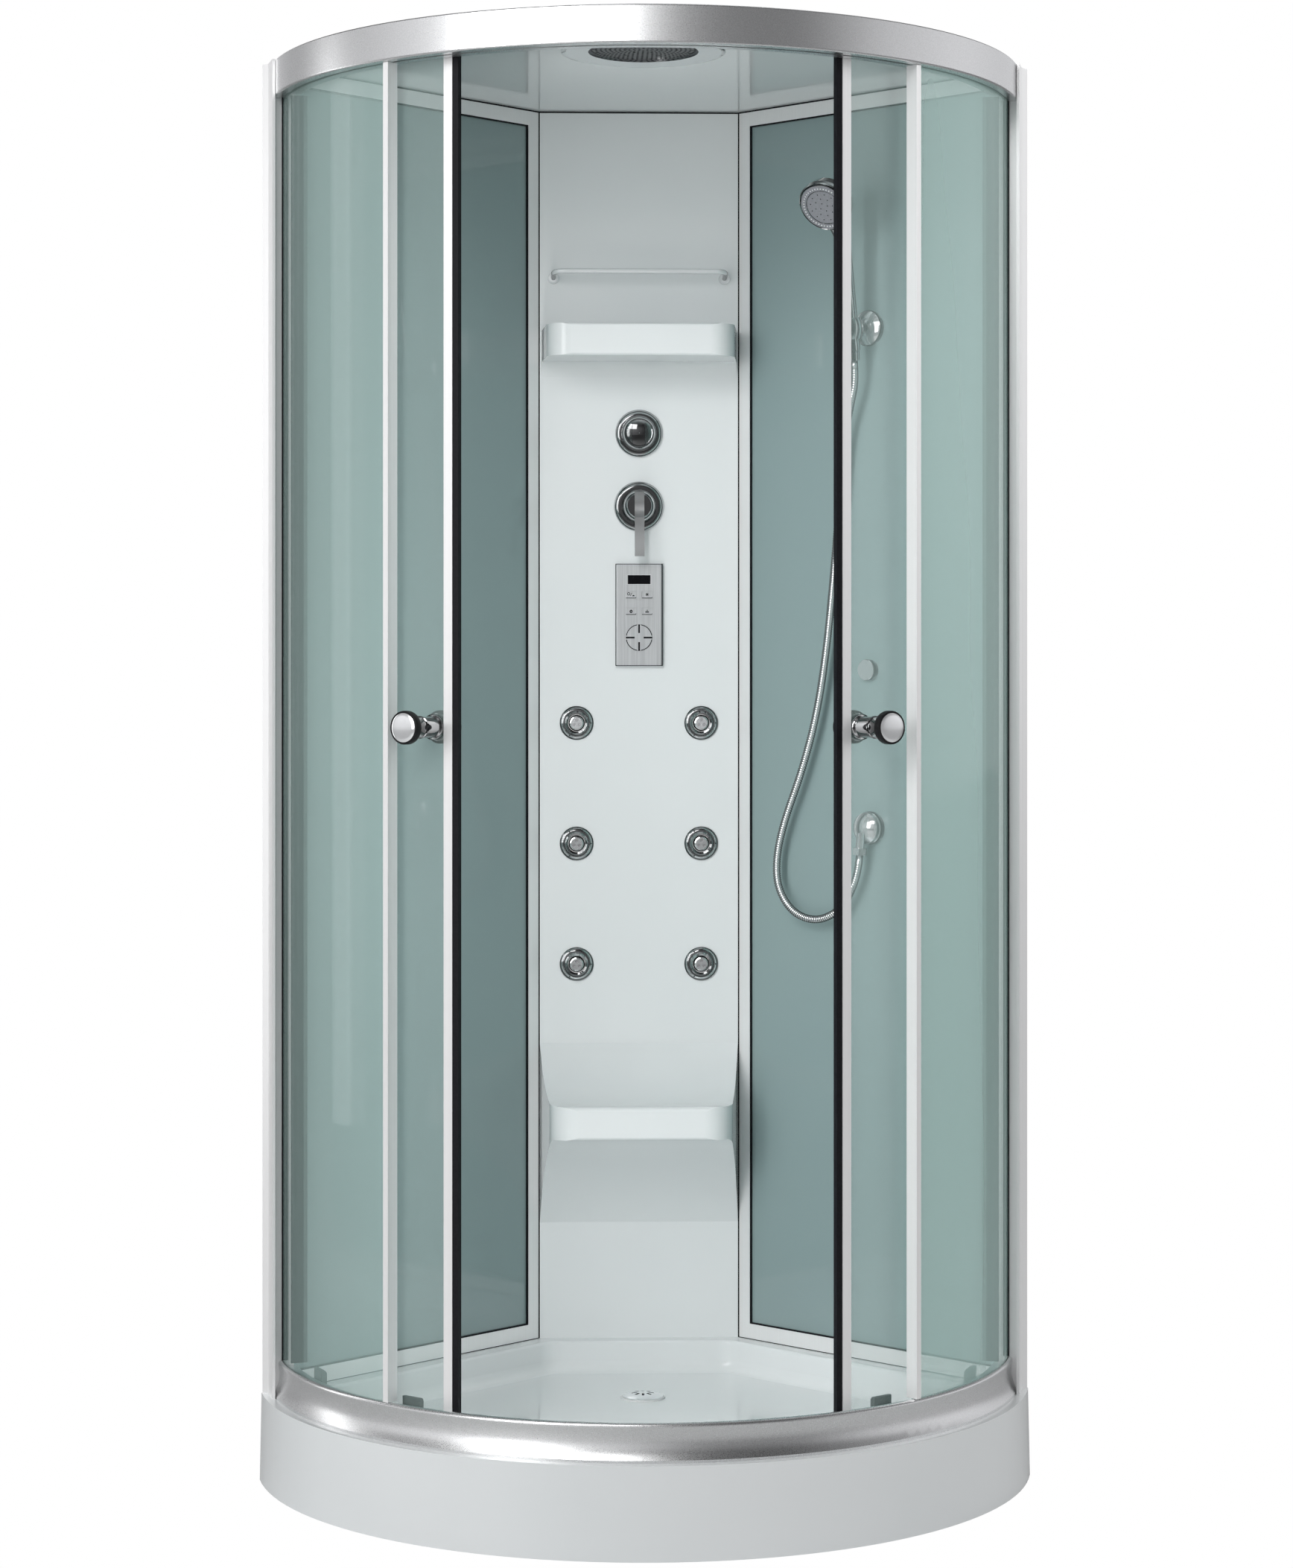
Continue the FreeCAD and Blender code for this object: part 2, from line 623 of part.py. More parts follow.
def make_upper_rail():
    """Closed aluminium rail with a channel for the panes and a roller track open to the inside."""
    foot = UPPER_FOOT
    track = foot + "+track_floor"
    deep = "rail_inner+track_depth"
    low = "pane_inner-glass_gap"
    high = "pane_inner+pane_thickness+glass_gap"
    return arc_bar("upper_rail", [
        ("rail_inner", foot), (low, foot), (low, SLOT_TOP), (high, SLOT_TOP), (high, foot),
        ("rail_outer-3", foot, "3.2", "right"), ("rail_outer", foot + "+3"),
        ("rail_outer", "cabin_height-2", "2.2", "right"), ("rail_outer-2", "cabin_height"),
        ("rail_inner", "cabin_height"), ("rail_inner", track + "+track_height"),
        (deep, track + "+track_height"), (deep, track), ("rail_inner", track)],
        "-rail_end", RAIL_SWEEP)


def make_posts():
    """Upright aluminium profiles between the rails' ends and the wall frames, with a lip that
    covers the ends."""
    posts = []
    edge = "(rail_end+post_gap)"
    inner = wall_end("wall_reach", "post_inner")
    outer = wall_end("wall_reach", "post_outer")
    points = [polar(edge, "post_inner"), polar(edge, "rail_outer+0.6"),
              polar("(rail_end-post_lip)", "rail_outer+0.6"),
              polar("(rail_end-post_lip)", "post_outer"), outer, inner]
    for name, sign in (("left", "-"), ("right", "")):
        body = new_body("post_" + name)
        drawn = new_sketch(body, "XY_Plane", "post_%s_plan" % name, "rim_height")
        outline(drawn, [("%s(%s)" % (sign, x), y) for x, y in points])
        extrude(body, "Pad", drawn, "cabin_height-rim_height")
        posts.append(body)
    return group("posts", posts)


def make_fixed_glass():
    """Curved panes between the posts and their own upright profiles."""
    start = "profile_angle+profile_web+0.05"
    stop = "rail_end-0.3"
    outer = "pane_inner+pane_thickness"
    face = box_outline("pane_inner", outer, LEDGE + "+glass_gap", SLOT_TOP + "-1.5")
    right = arc_bar("pane_right", face, start, "(%s)-(%s)" % (stop, start))
    left = arc_bar("pane_left", face, "-(%s)" % stop, "(%s)-(%s)" % (stop, start))
    return group("fixed_panes", [left, right])


def make_fixed_profiles():
    """Profiles on the free edges of the fixed panes.  Each is a channel that grips its glass."""
    body = box_outline("profile_inner", "profile_inner+profile_depth",
                       LOWER_TOP + "+glass_gap", UPPER_FOOT + "-glass_gap")
    slot = box_outline("pane_inner-glass_gap", "pane_inner+pane_thickness+glass_gap",
                       "rim_height", "cabin_height")
    deep = "profile_width-profile_web"
    right = arc_bar("profile_right", body, "profile_angle+profile_width", "-profile_width",
                    slot, deep)
    left = arc_bar("profile_left", body, "-(profile_angle+profile_width)", "profile_width",
                   slot, deep)
    return group("fixed_profiles", [left, right])


def make_gaskets():
    """Black strips that bed the fixed panes in the posts."""
    face = box_outline("pane_inner-2", "pane_inner+pane_thickness+2",
                       LOWER_TOP + "+glass_gap", UPPER_FOOT + "-glass_gap")
    strip = "0.27"
    right = arc_bar("gasket_right", face, "rail_end-0.25", strip)
    left = arc_bar("gasket_left", face, "-(rail_end-0.25)", "-" + strip)
    return group("pane_gaskets", [left, right])


def make_wall(side, name):
    """A wall's frame of four aluminium profiles, and the glass panel in their channels."""
    place = wall_frame_place(side)
    low = "-wall_depth" if side > 0 else "0"
    glass_low = "-(wall_depth+wall_glass)/2" if side > 0 else "(wall_depth-wall_glass)/2"
    height = "cabin_height-rim_height"
    inner = WALL_LENGTH + "-2*frame_width-2*bar_joint"
    inset = "frame_width+bar_joint"
    bars = [
        block(name + "_stile_front", ("frame_width", "wall_depth", height),
              ("0", low, "rim_height"), place),
        block(name + "_stile_back", ("frame_width", "wall_depth", height),
              (WALL_LENGTH + "-frame_width", low, "rim_height"), place),
        block(name + "_rail_low", (inner, "wall_depth", "frame_width"),
              (inset, low, "rim_height"), place),
        block(name + "_rail_high", (inner, "wall_depth", "frame_width"),
              (inset, low, "cabin_height-frame_width"), place)]
    bite = "(frame_width-panel_bite)"
    slot = block(name + "_slot",
                 ("%s-2*(%s-glass_gap)" % (WALL_LENGTH, bite), "wall_glass+2*glass_gap",
                  "%s-2*(%s-glass_gap)" % (height, bite)),
                 (bite + "-glass_gap", glass_low + "-glass_gap",
                  "rim_height+%s-glass_gap" % bite), place)
    frame = cut("wall_frame_" + name, group("wall_bars_" + name, bars), slot)
    glass = block("wall_glass_" + name,
                  ("%s-2*%s" % (WALL_LENGTH, bite), "wall_glass", "%s-2*%s" % (height, bite)),
                  (bite, glass_low, "rim_height+" + bite), place)
    return frame, glass


# ---------------------------------------------------------------- column

def side_form(label, corners, half):
    """A form drawn from the side, (ahead of the column's face, height), spread over a width."""
    body = new_body(label)
    drawn = new_sketch(body, "YZ_Plane", label + "_side")
    outline(drawn, [("column_front-(%s)" % one[0],) + tuple(one[1:]) for one in corners])
    extrude(body, "Pad", drawn, "2*(%s)" % half, both_ways=True)
    return body


def plan_form(label, half, root, ahead, corner, low, high):
    """An upright block that narrows from the column's face to its two rounded front corners."""
    body = new_body(label)
    drawn = new_sketch(body, "XY_Plane", label + "_plan", low)
    front = "column_front-(%s)" % ahead
    outline(drawn, [
        ("-(%s)" % root, "column_front+20"), ("-(%s)" % root, "column_front"),
        ("-(%s)" % half, front + "+(%s)" % corner, corner, "right"),
        ("-(%s)+(%s)" % (half, corner), front), ("(%s)-(%s)" % (half, corner), front, corner,
                                                 "right"),
        (half, front + "+(%s)" % corner), (root, "column_front"), (root, "column_front+20")])
    extrude(body, "Pad", drawn, "(%s)-(%s)" % (high, low))
    return body


def common(label, first, second):
    made = document.addObject("Part::Common", label)
    made.Base = first
    made.Tool = second
    return made


def seat_form(label, inset, tail):
    """The seat: a scoop that runs forward out of the column, a front with a rounded nose, and an
    underside that falls back to the column.  The inset makes the hollow behind the skin."""
    ahead = "(seat_ahead-%s)" % inset
    top = "(seat_top-%s)" % inset
    chin = "(seat_top-seat_lip+%s)" % inset
    root = "(wall_reach-column_front-0.5-%s)" % inset
    side = side_form(label + "_side", [
        ("-(%s)" % tail, "scoop_top-1.6*%s" % inset), ("0", "scoop_top-1.6*%s" % inset, "205", "left"),
        (ahead + "-7", top, "7.2", "right"), (ahead, top + "-7"),
        (ahead, chin + "+5", "5.2", "right"), (ahead + "-5", chin),
        (ahead + "-22", chin + "-1", "330", "left"), ("0", "chin_foot+1.6*%s" % inset),
        ("-(%s)" % tail, "chin_foot+1.6*%s" % inset)], root)
    plan = plan_form(label + "_plan", "seat_half-%s" % inset, root, ahead,
                     "seat_corner-%s" % inset, "chin_foot-20", "scoop_top+20")
    return common(label, side, plan)


def shelf_form(label, inset, tail):
    """The shelf: a flat top, a front with rounded edges, and a cove under it."""
    ahead = "(shelf_ahead-%s)" % inset
    top = "(shelf_top-%s)" % inset
    foot = "(shelf_top-shelf_lip+%s)" % inset
    root = "(shelf_half+9-%s)" % inset
    side = side_form(label + "_side", [
        ("-(%s)" % tail, top), (ahead + "-4", top, "4.2", "right"), (ahead, top + "-4"),
        (ahead, foot + "+4", "4.2", "right"), (ahead + "-4", foot),
        ("shelf_cove", foot, "shelf_cove+1", "left"), ("0", foot + "-shelf_cove"),
        ("-(%s)" % tail, foot + "-shelf_cove")], root)
    plan = plan_form(label + "_plan", "shelf_half-%s" % inset, root, ahead,
                     "shelf_corner-%s" % inset, "shelf_top-shelf_lip-shelf_cove-20",
                     "shelf_top+20")
    return common(label, side, plan)


JETS = [(side, row) for row in range(3) for side in (-1, 1)]


def jet_spot(side, row):
    return "%d*jet_across" % side, "jet_low+%d*jet_pitch" % row


def make_column():
    """The moulded column: a shallow panel between the wall frames, the shelf and the seat, open
    behind, with holes for the valves, the control panel's cable and the jets."""
    half = "(wall_reach-column_front)"
    back = half + "+column_depth"
    panel = new_body("column_panel")
    plan = new_sketch(panel, "XY_Plane", "column_plan", "rim_height")
    outline(plan, [("-%s" % half, "column_front"), (half, "column_front"),
                   (back, "column_front+column_depth"),
                   ("-(%s)" % back, "column_front+column_depth")])
    extrude(panel, "Pad", plan, "cabin_height-rim_height")
    rear = new_sketch(panel, "XZ_Plane", "column_rear", "-(column_front+column_depth)")
    outline(rear, box_outline("-(%s-column_skin)" % half, "%s-column_skin" % half,
                              "rim_height+column_skin", "cabin_height-column_skin"))
    extrude(panel, "Pocket", rear, "column_depth-column_skin", reverse=True)
    solid = fuse("column_solid", [panel, seat_form("seat_outer", "0", "column_skin/2"),
                                  shelf_form("shelf_outer", "0", "column_skin/2")])
    tools = [seat_form("seat_inner", "column_skin", "column_skin+1"),
             shelf_form("shelf_inner", "column_skin", "column_skin+1")]
    depth = "3*column_skin"
    for number, (side, row) in enumerate(JETS, 1):
        across, height = jet_spot(side, row)
        tools.append(rod("jet_hole_%d" % number, "jet_ball+1.7", depth,
                         on_column(across, height, "-2*column_skin")))
    for name in ("diverter", "mixer"):
        tools.append(rod(name + "_hole", "spindle_radius+6", depth,
                         on_column("0", name + "_height", "-2*column_skin")))
    tools.append(rod("cable_hole", "8", depth, on_column("0", "control_height", "-2*column_skin")))
    return cut("column", solid, fuse("column_tools", tools))


def make_towel_rail():
    """A bent tube that rises a little from its two feet to the bar, with a rose on each foot."""
    place = on_column("0", "rail_bar_height")
    lift = Rotation(Vector(1, 0, 0), -value("rail_bar_lift"))
    body = new_body("towel_tube", place.multiply(Placement(Vector(), lift)))
    path = new_sketch(body, "XZ_Plane", "towel_path")
    bend = value("4*rail_bar_radius")
    half, ahead = value("rail_bar_half"), value("rail_bar_ahead")
    slant = bend * (1 - math.sqrt(0.5))
    foot = 1.5
    for piece in (
            Part.LineSegment(Vector(-half, foot, 0), Vector(-half, ahead - bend, 0)),
            Part.Arc(Vector(-half + bend, ahead, 0), Vector(-half + slant, ahead - slant, 0),
                     Vector(-half, ahead - bend, 0)),
            Part.LineSegment(Vector(-half + bend, ahead, 0), Vector(half - bend, ahead, 0)),
            Part.Arc(Vector(half, ahead - bend, 0), Vector(half - slant, ahead - slant, 0),
                     Vector(half - bend, ahead, 0)),
            Part.LineSegment(Vector(half, ahead - bend, 0), Vector(half, foot, 0))):
        path.addGeometry(piece, False)
    ends = new_sketch(body, "XY_Plane", "towel_section", "1.5")
    circle(ends, "-rail_bar_half", "0", "rail_bar_radius")
    pipe = body.newObject("PartDesign::AdditivePipe", "towel_pipe")
    pipe.Profile = ends
    pipe.Spine = (path, [])
    roses = [spun("towel_rose_" + name, [
        ("0", "0"), ("2.3*rail_bar_radius", "0"), ("2.3*rail_bar_radius", "2.5"),
        ("1.6*rail_bar_radius", "5"), ("0", "5")],
        on_column("%s*rail_bar_half" % sign, "rail_bar_height"))
        for name, sign in (("left", "-1"), ("right", "1"))]
    return fuse("towel_rail", [body] + roses)


# ---------------------------------------------------------------- column fittings

def make_escutcheons():
    """Wall plates of the diverter and the mixer, each with a hole for its spindle."""
    plates = []
    for name in ("diverter", "mixer"):
        edge = name + "_radius"
        plates.append(spun(name + "_plate", [
            ("spindle_radius+1", "0"), (edge, "0"), (edge, "2.5", "11", "right"),
            (edge + "-9", "8"), ("spindle_radius+1", "8")], on_column("0", name + "_height")))
    return group("valve_escutcheons", plates)


def make_valve_bodies():
    """Brass valve bodies behind the column, each with a spindle through it."""
    valves = []
    for name, wide, tall in (("diverter", 44, 60), ("mixer", 54, 54)):
        body = new_body(name + "_valve", on_column("0", name + "_height"))
        base = new_sketch(body, "XY_Plane", name + "_block", "-column_skin-0.5")
        outline(base, box_outline(-wide / 2, wide / 2, -tall / 2, tall / 2))
        extrude(body, "Pad", base, "46", reverse=True)
        neck = new_sketch(body, "XY_Plane", name + "_neck", "-column_skin-0.5")
        circle(neck, "0", "0", "spindle_radius")
        extrude(body, "Pad", neck, "column_skin+7.5")
        stub = new_sketch(body, "XY_Plane", name + "_stub", "-column_skin-0.5")
        circle(stub, "0", "0", "4")
        extrude(body, "Pad", stub, "column_skin+16")
        ports = new_sketch(body, "YZ_Plane", name + "_ports", "-%g/2-14" % wide)
        circle(ports, "0", "-column_skin-24", "10")
        extrude(body, "Pad", ports, wide + 28)
        valves.append(body)
    return group("valve_bodies", valves)


def make_diverter_knob():
    """Round turning knob with a raised lip round its domed face, on the diverter's stub."""
    return spun("diverter_knob", [
        ("4.05", "8.3"), ("30", "8.3", "30", "right"), ("27", "20", "12", "right"),
        ("23.6", "24"), ("22.4", "24")] + dome("22.4", "21.5", "4")
        + [("0", "16.1"), ("4.05", "16.1")], on_column("0", "diverter_height"))


def make_mixer():
    """The mixer's turning body, and the lever that lifts on its front."""
    place = on_column("0", "mixer_height")
    boss = spun("mixer_boss", [
        ("4.05", "8.3"), ("boss_radius+2", "8.3"), ("boss_radius", "12"),
        ("boss_radius", "8+boss_length-8", "14", "right"), ("boss_radius-7", "8+boss_length"),
        ("0", "8+boss_length"), ("0", "16.1"), ("4.05", "16.1")], place)
    lever = new_body("mixer_lever", place)
    side = new_sketch(lever, "YZ_Plane", "lever_side")
    low = "8.3+boss_length"
    outline(side, [("20", low), ("24", low + "+1.5"), ("22", low + "+lever_thick-1", "40", "left"),
                   ("-20", low + "+lever_thick-1", "170", "left"),
                   ("-lever_reach", low + "+lever_thick+5"), ("-lever_reach", low + "+6", "160",
                                                              "right"), ("-18", low)])
    extrude(lever, "Pad", side, "lever_width", both_ways=True)
    document.recompute()
    return boss, lever


def make_control():
    """The control panel: a plate with a rim back to the column, and windows for its keys."""
    place = on_column("0", "control_height")
    body = new_body("control_plate", place)
    face = new_sketch(body, "XY_Plane", "control_face")
    half, tall = "control_half", "control_tall/2"
    outline(face, box_outline("-" + half, half, "-" + tall, tall))
    pad = extrude(body, "Pad", face, "control_deep")
    corners = round_edges(body, pad, "4", lambda middle, box: box.XLength < 0.01
                          and box.ZLength < 0.01 and box.YLength > 5)
    hollow = new_sketch(body, "XY_Plane", "control_hollow")
    outline(hollow, box_outline("-(%s-2)" % half, half + "-2", "-(%s-2)" % tall, tall + "-2"))
    extrude(body, "Pocket", hollow, "control_deep-2", reverse=True)
    windows = new_sketch(body, "XY_Plane", "control_windows", "control_deep")
    middle = "display_height-control_height"
    outline(windows, box_outline("-display_wide/2", "display_wide/2",
                                 middle + "-display_tall/2", middle + "+display_tall/2"))
    circle(windows, "0", "pad_height-control_height", "pad_radius+0.3")
    for across, height in KEYS.values():
        outline(windows, box_outline(
            across + "-key_wide/2-0.3", across + "+key_wide/2+0.3",
            "%s-control_height-key_tall/2-0.3" % height,
            "%s-control_height+key_tall/2+0.3" % height))
    extrude(body, "Pocket", windows, "2.5")
    screen = block("display", ("display_wide-0.2", "1.6", "display_tall-0.2"),
                   ("-display_wide/2+0.1", "column_front-control_deep+0.2",
                    "display_height-display_tall/2+0.1"))
    return body, screen


KEYS = {
    "key_power": ("-key_across", "key_high"),
    "key_light": ("key_across", "key_high"),
    "key_shower": ("-key_across", "key_low"),
    "key_steam": ("key_across", "key_low"),
}


def make_keys():
    """Four keys with a flange behind the plate, and the round pad below them."""
    flange = "control_deep-2-1.4"
    made = []
    for name, (across, height) in KEYS.items():
        body = new_body(name, on_column(across, height))
        foot = new_sketch(body, "XY_Plane", name + "_flange", flange + "-key_travel")
        outline(foot, box_outline("-key_wide/2-1", "key_wide/2+1",
                                  "-key_tall/2-1", "key_tall/2+1"))
        extrude(body, "Pad", foot, "1.2")
        cap = new_sketch(body, "XY_Plane", name + "_cap", flange + "-key_travel+1.2")
        outline(cap, box_outline("-key_wide/2", "key_wide/2", "-key_tall/2", "key_tall/2"))
        extrude(body, "Pad", cap, "2.5+key_travel")
        made.append(body)
    made.append(spun("nav_pad", [
        ("0", flange + "-key_travel"), ("pad_radius+1.5", flange + "-key_travel"),
        ("pad_radius+1.5", flange + "-key_travel+1.2"), ("pad_radius", flange + "-key_travel+1.2"),
        ("pad_radius", "control_deep+0.1"), ("pad_radius-0.6", "control_deep+0.4"),
        ("0", "control_deep+0.4")], on_column("0", "pad_height")))
    return made


def make_jets():
    """Body jets: a bezel with a stepped ring and a threaded tail, and a swivelling ball in it."""
    bezels, balls = [], []
    ball = "jet_ball"
    for number, (side, row) in enumerate(JETS, 1):
        across, height = jet_spot(side, row)
        place = on_column(across, height)
        body = spun("jet_bezel_%d" % number, [
            (ball + "+0.3", "-34"), (ball + "+1.5", "-34"), (ball + "+1.5", "0"),
            ("jet_radius", "0"), ("jet_radius", "2", "14", "right"), ("jet_radius-6", "5.5"),
            ("jet_radius-7.5", "4.6"), ("jet_radius-8.5", "6.5"), (ball + "+3.6", "8"),
            (ball + "+0.6", "7"), (ball + "+0.3", "6")], place)
        dots = new_sketch(body, "XY_Plane", "jet_dots_%d" % number, "9")
        circle(dots, "jet_radius-4.6", "0", "1.2")
        around(body, extrude(body, "Pocket", dots, "6"), 3, dots)
        bezels.append(body)
        nozzle = spun("jet_nozzle_%d" % number, [
            ("0", "-8"), ("9", "-8"), ("13", "-4.8", ball, "right"), ("13", "4.8"),
            ("11.6", "7.6"), ("9.5", "8.4"), ("0", "8.4")], place)
        holes = new_sketch(nozzle, "XY_Plane", "jet_holes_%d" % number, "10")
        circle(holes, "0", "5.2", "2.6")
        around(nozzle, extrude(nozzle, "Pocket", holes, "14"), 3, holes)
        balls.append(nozzle)
    return group("jet_bezels", bezels), balls


def make_steam_generator():
    """Steam generator on the tray's back corner, behind the column: a lagged tank on a foot, with
    a water inlet and a steam outlet on top."""
    corner = ("-80", "column_front+column_depth+4", "rim_height")
    tank = block("generator_tank", ("160", "84", "270"), corner)
    lid = block("generator_lid", ("130", "60", "16"), ("-65", "column_front+column_depth+16",
                                                       "rim_height+270"))
    spots = (("inlet", -35, 8), ("outlet", 35, 11))
    stubs = [rod("generator_" + name, radius, "40", PLAN.multiply(Placement(
        Vector(across, value("column_front+column_depth+46"), value("rim_height+286")),
        Rotation()))) for name, across, radius in spots]
    return fuse("steam_generator", [tank, lid] + stubs)


# ---------------------------------------------------------------- roof

def make_roof():
    """Flat moulded roof on the rails and wall frames, with a stiffening rib set in from its edge."""
    body = new_body("roof")
    plan = new_sketch(body, "XY_Plane", "roof_plan", "cabin_height")
    outline(plan, quadrant("roof_reach", "roof_radius", "roof_back"))
    extrude(body, "Pad", plan, "roof_skin")
    rib = new_sketch(body, "XY_Plane", "roof_rib_plan", "cabin_height+roof_skin")
    outline(rib, quadrant("roof_reach-64", "roof_radius-80", "roof_back-44"))
    outline(rib, quadrant("roof_reach-70", "roof_radius-84", "roof_back-48"))
    extrude(body, "Pad", rib, "roof_rib")
    hole = new_sketch(body, "XY_Plane", "roof_hole", "cabin_height-1")
    circle(hole, "rain_across", "-rain_ahead", "rain_chamber+0.5")
    extrude(body, "Pocket", hole, "roof_skin+2", reverse=True)
    return body


def make_rain_shower():
    """White ring under the roof with a water chamber above it, and the perforated plate inside."""
    spot = Vector(value("rain_across"), -value("rain_ahead"), value("cabin_height"))
    place = PLAN.multiply(Placement(spot, Rotation()))
    seat = "rain_plate-2"
    ring = spun("rain_shower", [
        (seat, "-1"), ("rain_ring-6", "-2.6"), ("rain_ring", "-1.4"), ("rain_ring", "-0.2"),
        ("rain_chamber", "-0.2"), ("rain_chamber", "18"), ("11", "18"), ("11", "42"), ("8", "42"),
        ("8", "15"), ("rain_chamber-3", "15"), ("rain_chamber-3", "8"),
        ("rain_plate+0.3", "8"), ("rain_plate+0.3", "2.4"), (seat, "2.4")], place)
    plate = spun("rain_plate", [("0", "2.6"), ("rain_plate", "2.6"), ("rain_plate", "5.6"),
                                ("0", "5.6")], place)
    for number, (share, count) in enumerate(((0.3, 6), (0.6, 12), (0.88, 18)), 1):
        drawn = new_sketch(plate, "XY_Plane", "rain_holes_%d" % number, "8")
        circle(drawn, "%g*rain_plate" % share, "0", "2.2")
        around(plate, extrude(plate, "Pocket", drawn, "10"), count, drawn)
    return ring, plate


# ---------------------------------------------------------------- right wall's fittings

def make_holder():
    """Wall disc with an arm, and the cradle on its end that grips the handle."""
    place = on_wall("fitting_along", "holder_height")
    arm = "holder_off-cradle_radius-2"
    base = spun("holder_base", [
        ("0", "-wall_set"), ("holder_radius", "-wall_set"), ("holder_radius", "0"),
        ("holder_radius-1", "4", "40", "right"), ("14", "9"), ("9", "11"), ("9", arm),
        ("0", arm)], place)
    ring = spun("cradle_ring", [
        ("handle_radius+0.3", "-17"), ("handle_radius+3", "-17", "43", "right"),
        ("handle_radius+4", "17"), ("handle_radius+0.3", "17")], CRADLE)
    hub = rod("cradle_hub", "9", "cradle_radius-3", on_wall("fitting_along", "holder_height-3",
                                                            arm + "+0.3"))
    low = Vector(0, 0, -value("cradle_reach"))
    grip = rod("cradle_bore", "handle_radius+0.3", "2*cradle_reach",
               CRADLE.multiply(Placement(low, Rotation())))
    mouth = block("cradle_mouth", ("14", "40", "2*cradle_reach"), ("0", "0", "0"),
                  CRADLE.multiply(Placement(low - Vector(7, 0, 0), Rotation())))
    return base, cut("holder_clip", fuse("cradle", [ring, hub]),
                     fuse("cradle_tools", [grip, mouth]))


LEAN = math.radians(value("handset_lean"))
DROP = math.radians(value("head_drop"))
UP = Vector(0, 0, 1)
HANDLE_WAY = INWARD * math.sin(LEAN) + UP * math.cos(LEAN)
HEAD_WAY = Rotation(UP, value("handset_swing")).multVec(INWARD)
FACE_WAY = HEAD_WAY * math.cos(DROP) - UP * math.sin(DROP)
CROWN_WAY = HEAD_WAY * math.sin(DROP) + UP * math.cos(DROP)
GRIP = wall_spot(value("fitting_along"), value("holder_off"), value("holder_height-4"))
CRADLE = facing(GRIP, HANDLE_WAY, INWARD)
NUT = value("handset_below") + 16


def ring_at(label, spot, side, way, wide, deep):
    """A closed ellipse about a spot, square to a way, with its long axis to a side."""
    made = document.addObject("Part::Ellipse", label)
    bind(made, "MajorRadius", wide)
    bind(made, "MinorRadius", deep)
    way = Vector(way).normalize()
    side = (side - way * side.dot(way)).normalize()
    made.Placement = PLAN.multiply(Placement(spot, Rotation(side, way.cross(side), way, "ZXY")))
    return made


def make_handset():
    """Hand shower: a turned handle, a neck that widens into a round head, and a spray face that
    turns in it."""
    foot = facing(GRIP - HANDLE_WAY * value("handset_below"), HANDLE_WAY, INWARD)
    length = "handset_below+collar_above"
    handle = spun("handset_handle", [
        ("0", "-16"), ("9.5", "-16"), ("10.5", "-1"), ("handle_radius", "0"),
        ("handle_radius", length), ("0", length)], foot)
    face_spot = (GRIP + HANDLE_WAY * value("handset_above")
                 + HEAD_WAY * value("head_ahead"))
    head_place = facing(face_spot, FACE_WAY, CROWN_WAY)
    head = spun("handset_head", [
        ("0", "-36"), ("18", "-36", "34", "right"), ("head_radius-4", "-24"),
        ("head_radius-1", "-12"), ("head_radius", "-8"), ("head_radius", "-2"),
        ("head_radius-1.5", "0"),
        ("head_radius-4", "0"), ("head_radius-4", "-3"), ("0", "-3")], head_place)
    start = GRIP + HANDLE_WAY * (value("collar_above") - 1)
    stop = face_spot - FACE_WAY * 14 - CROWN_WAY * 18
    bend = start + HANDLE_WAY * 34
    side = CROWN_WAY.cross(FACE_WAY)
    neck = document.addObject("Part::Loft", "handset_neck")
    neck.Sections = [
        ring_at("neck_low", start, side, HANDLE_WAY, "handle_radius-0.5", "handle_radius-0.6"),
        ring_at("neck_mid", start * 0.25 + bend * 0.5 + stop * 0.25, side, stop - start,
                "handle_radius+3", "handle_radius-0.5"),
        ring_at("neck_high", stop, side, CROWN_WAY, "head_radius-14", "9.5")]
    neck.Solid = True
    face = spun("spray_face", [
        ("0", "-2.7"), ("head_radius-4.3", "-2.7"), ("head_radius-4.3", "0.8"),
        ("head_radius-6", "1.8"), ("31", "1.8"), ("30", "0.8"), ("0", "0.8")], head_place)
    tab = new_sketch(face, "XY_Plane", "spray_tab", "0.5")
    spread = math.radians(28)
    across, down = math.sin(spread), math.cos(spread)
    corners = [(-2.5, 37), (2.5, 37), (2.5, 48), (-2.5, 48)]
    outline(tab, [("%.4f" % (x * down + y * across), "%.4f" % (x * across - y * down))
                  for x, y in corners])
    extrude(face, "Pad", tab, "4")
    return fuse("handset", [handle, neck, head]), face


def make_cap():
    """Round chromed cap on the wall."""
    return spun("wall_cap", [
        ("0", "-wall_set"), ("cap_radius", "-wall_set"), ("cap_radius", "2.6"),
        ("cap_radius-0.8", "3.2"), ("cap_radius-0.8", "3.8"), ("cap_radius", "4.4"),
        ("cap_radius", "cap_thick-1"),
        ("cap_radius-1", "cap_thick"), ("0", "cap_thick")],
        on_wall("fitting_along-0.5", "cap_height"))


TURN = math.radians(value("elbow_turn"))
OUTLET = wall_spot(value("elbow_along"), value("elbow_off"), value("elbow_height"))
SPOUT_WAY = (Vector(-1, 1, 0).normalize() * math.sin(TURN) - UP * math.cos(TURN))
MOUTH = OUTLET + SPOUT_WAY * value("elbow_drop")


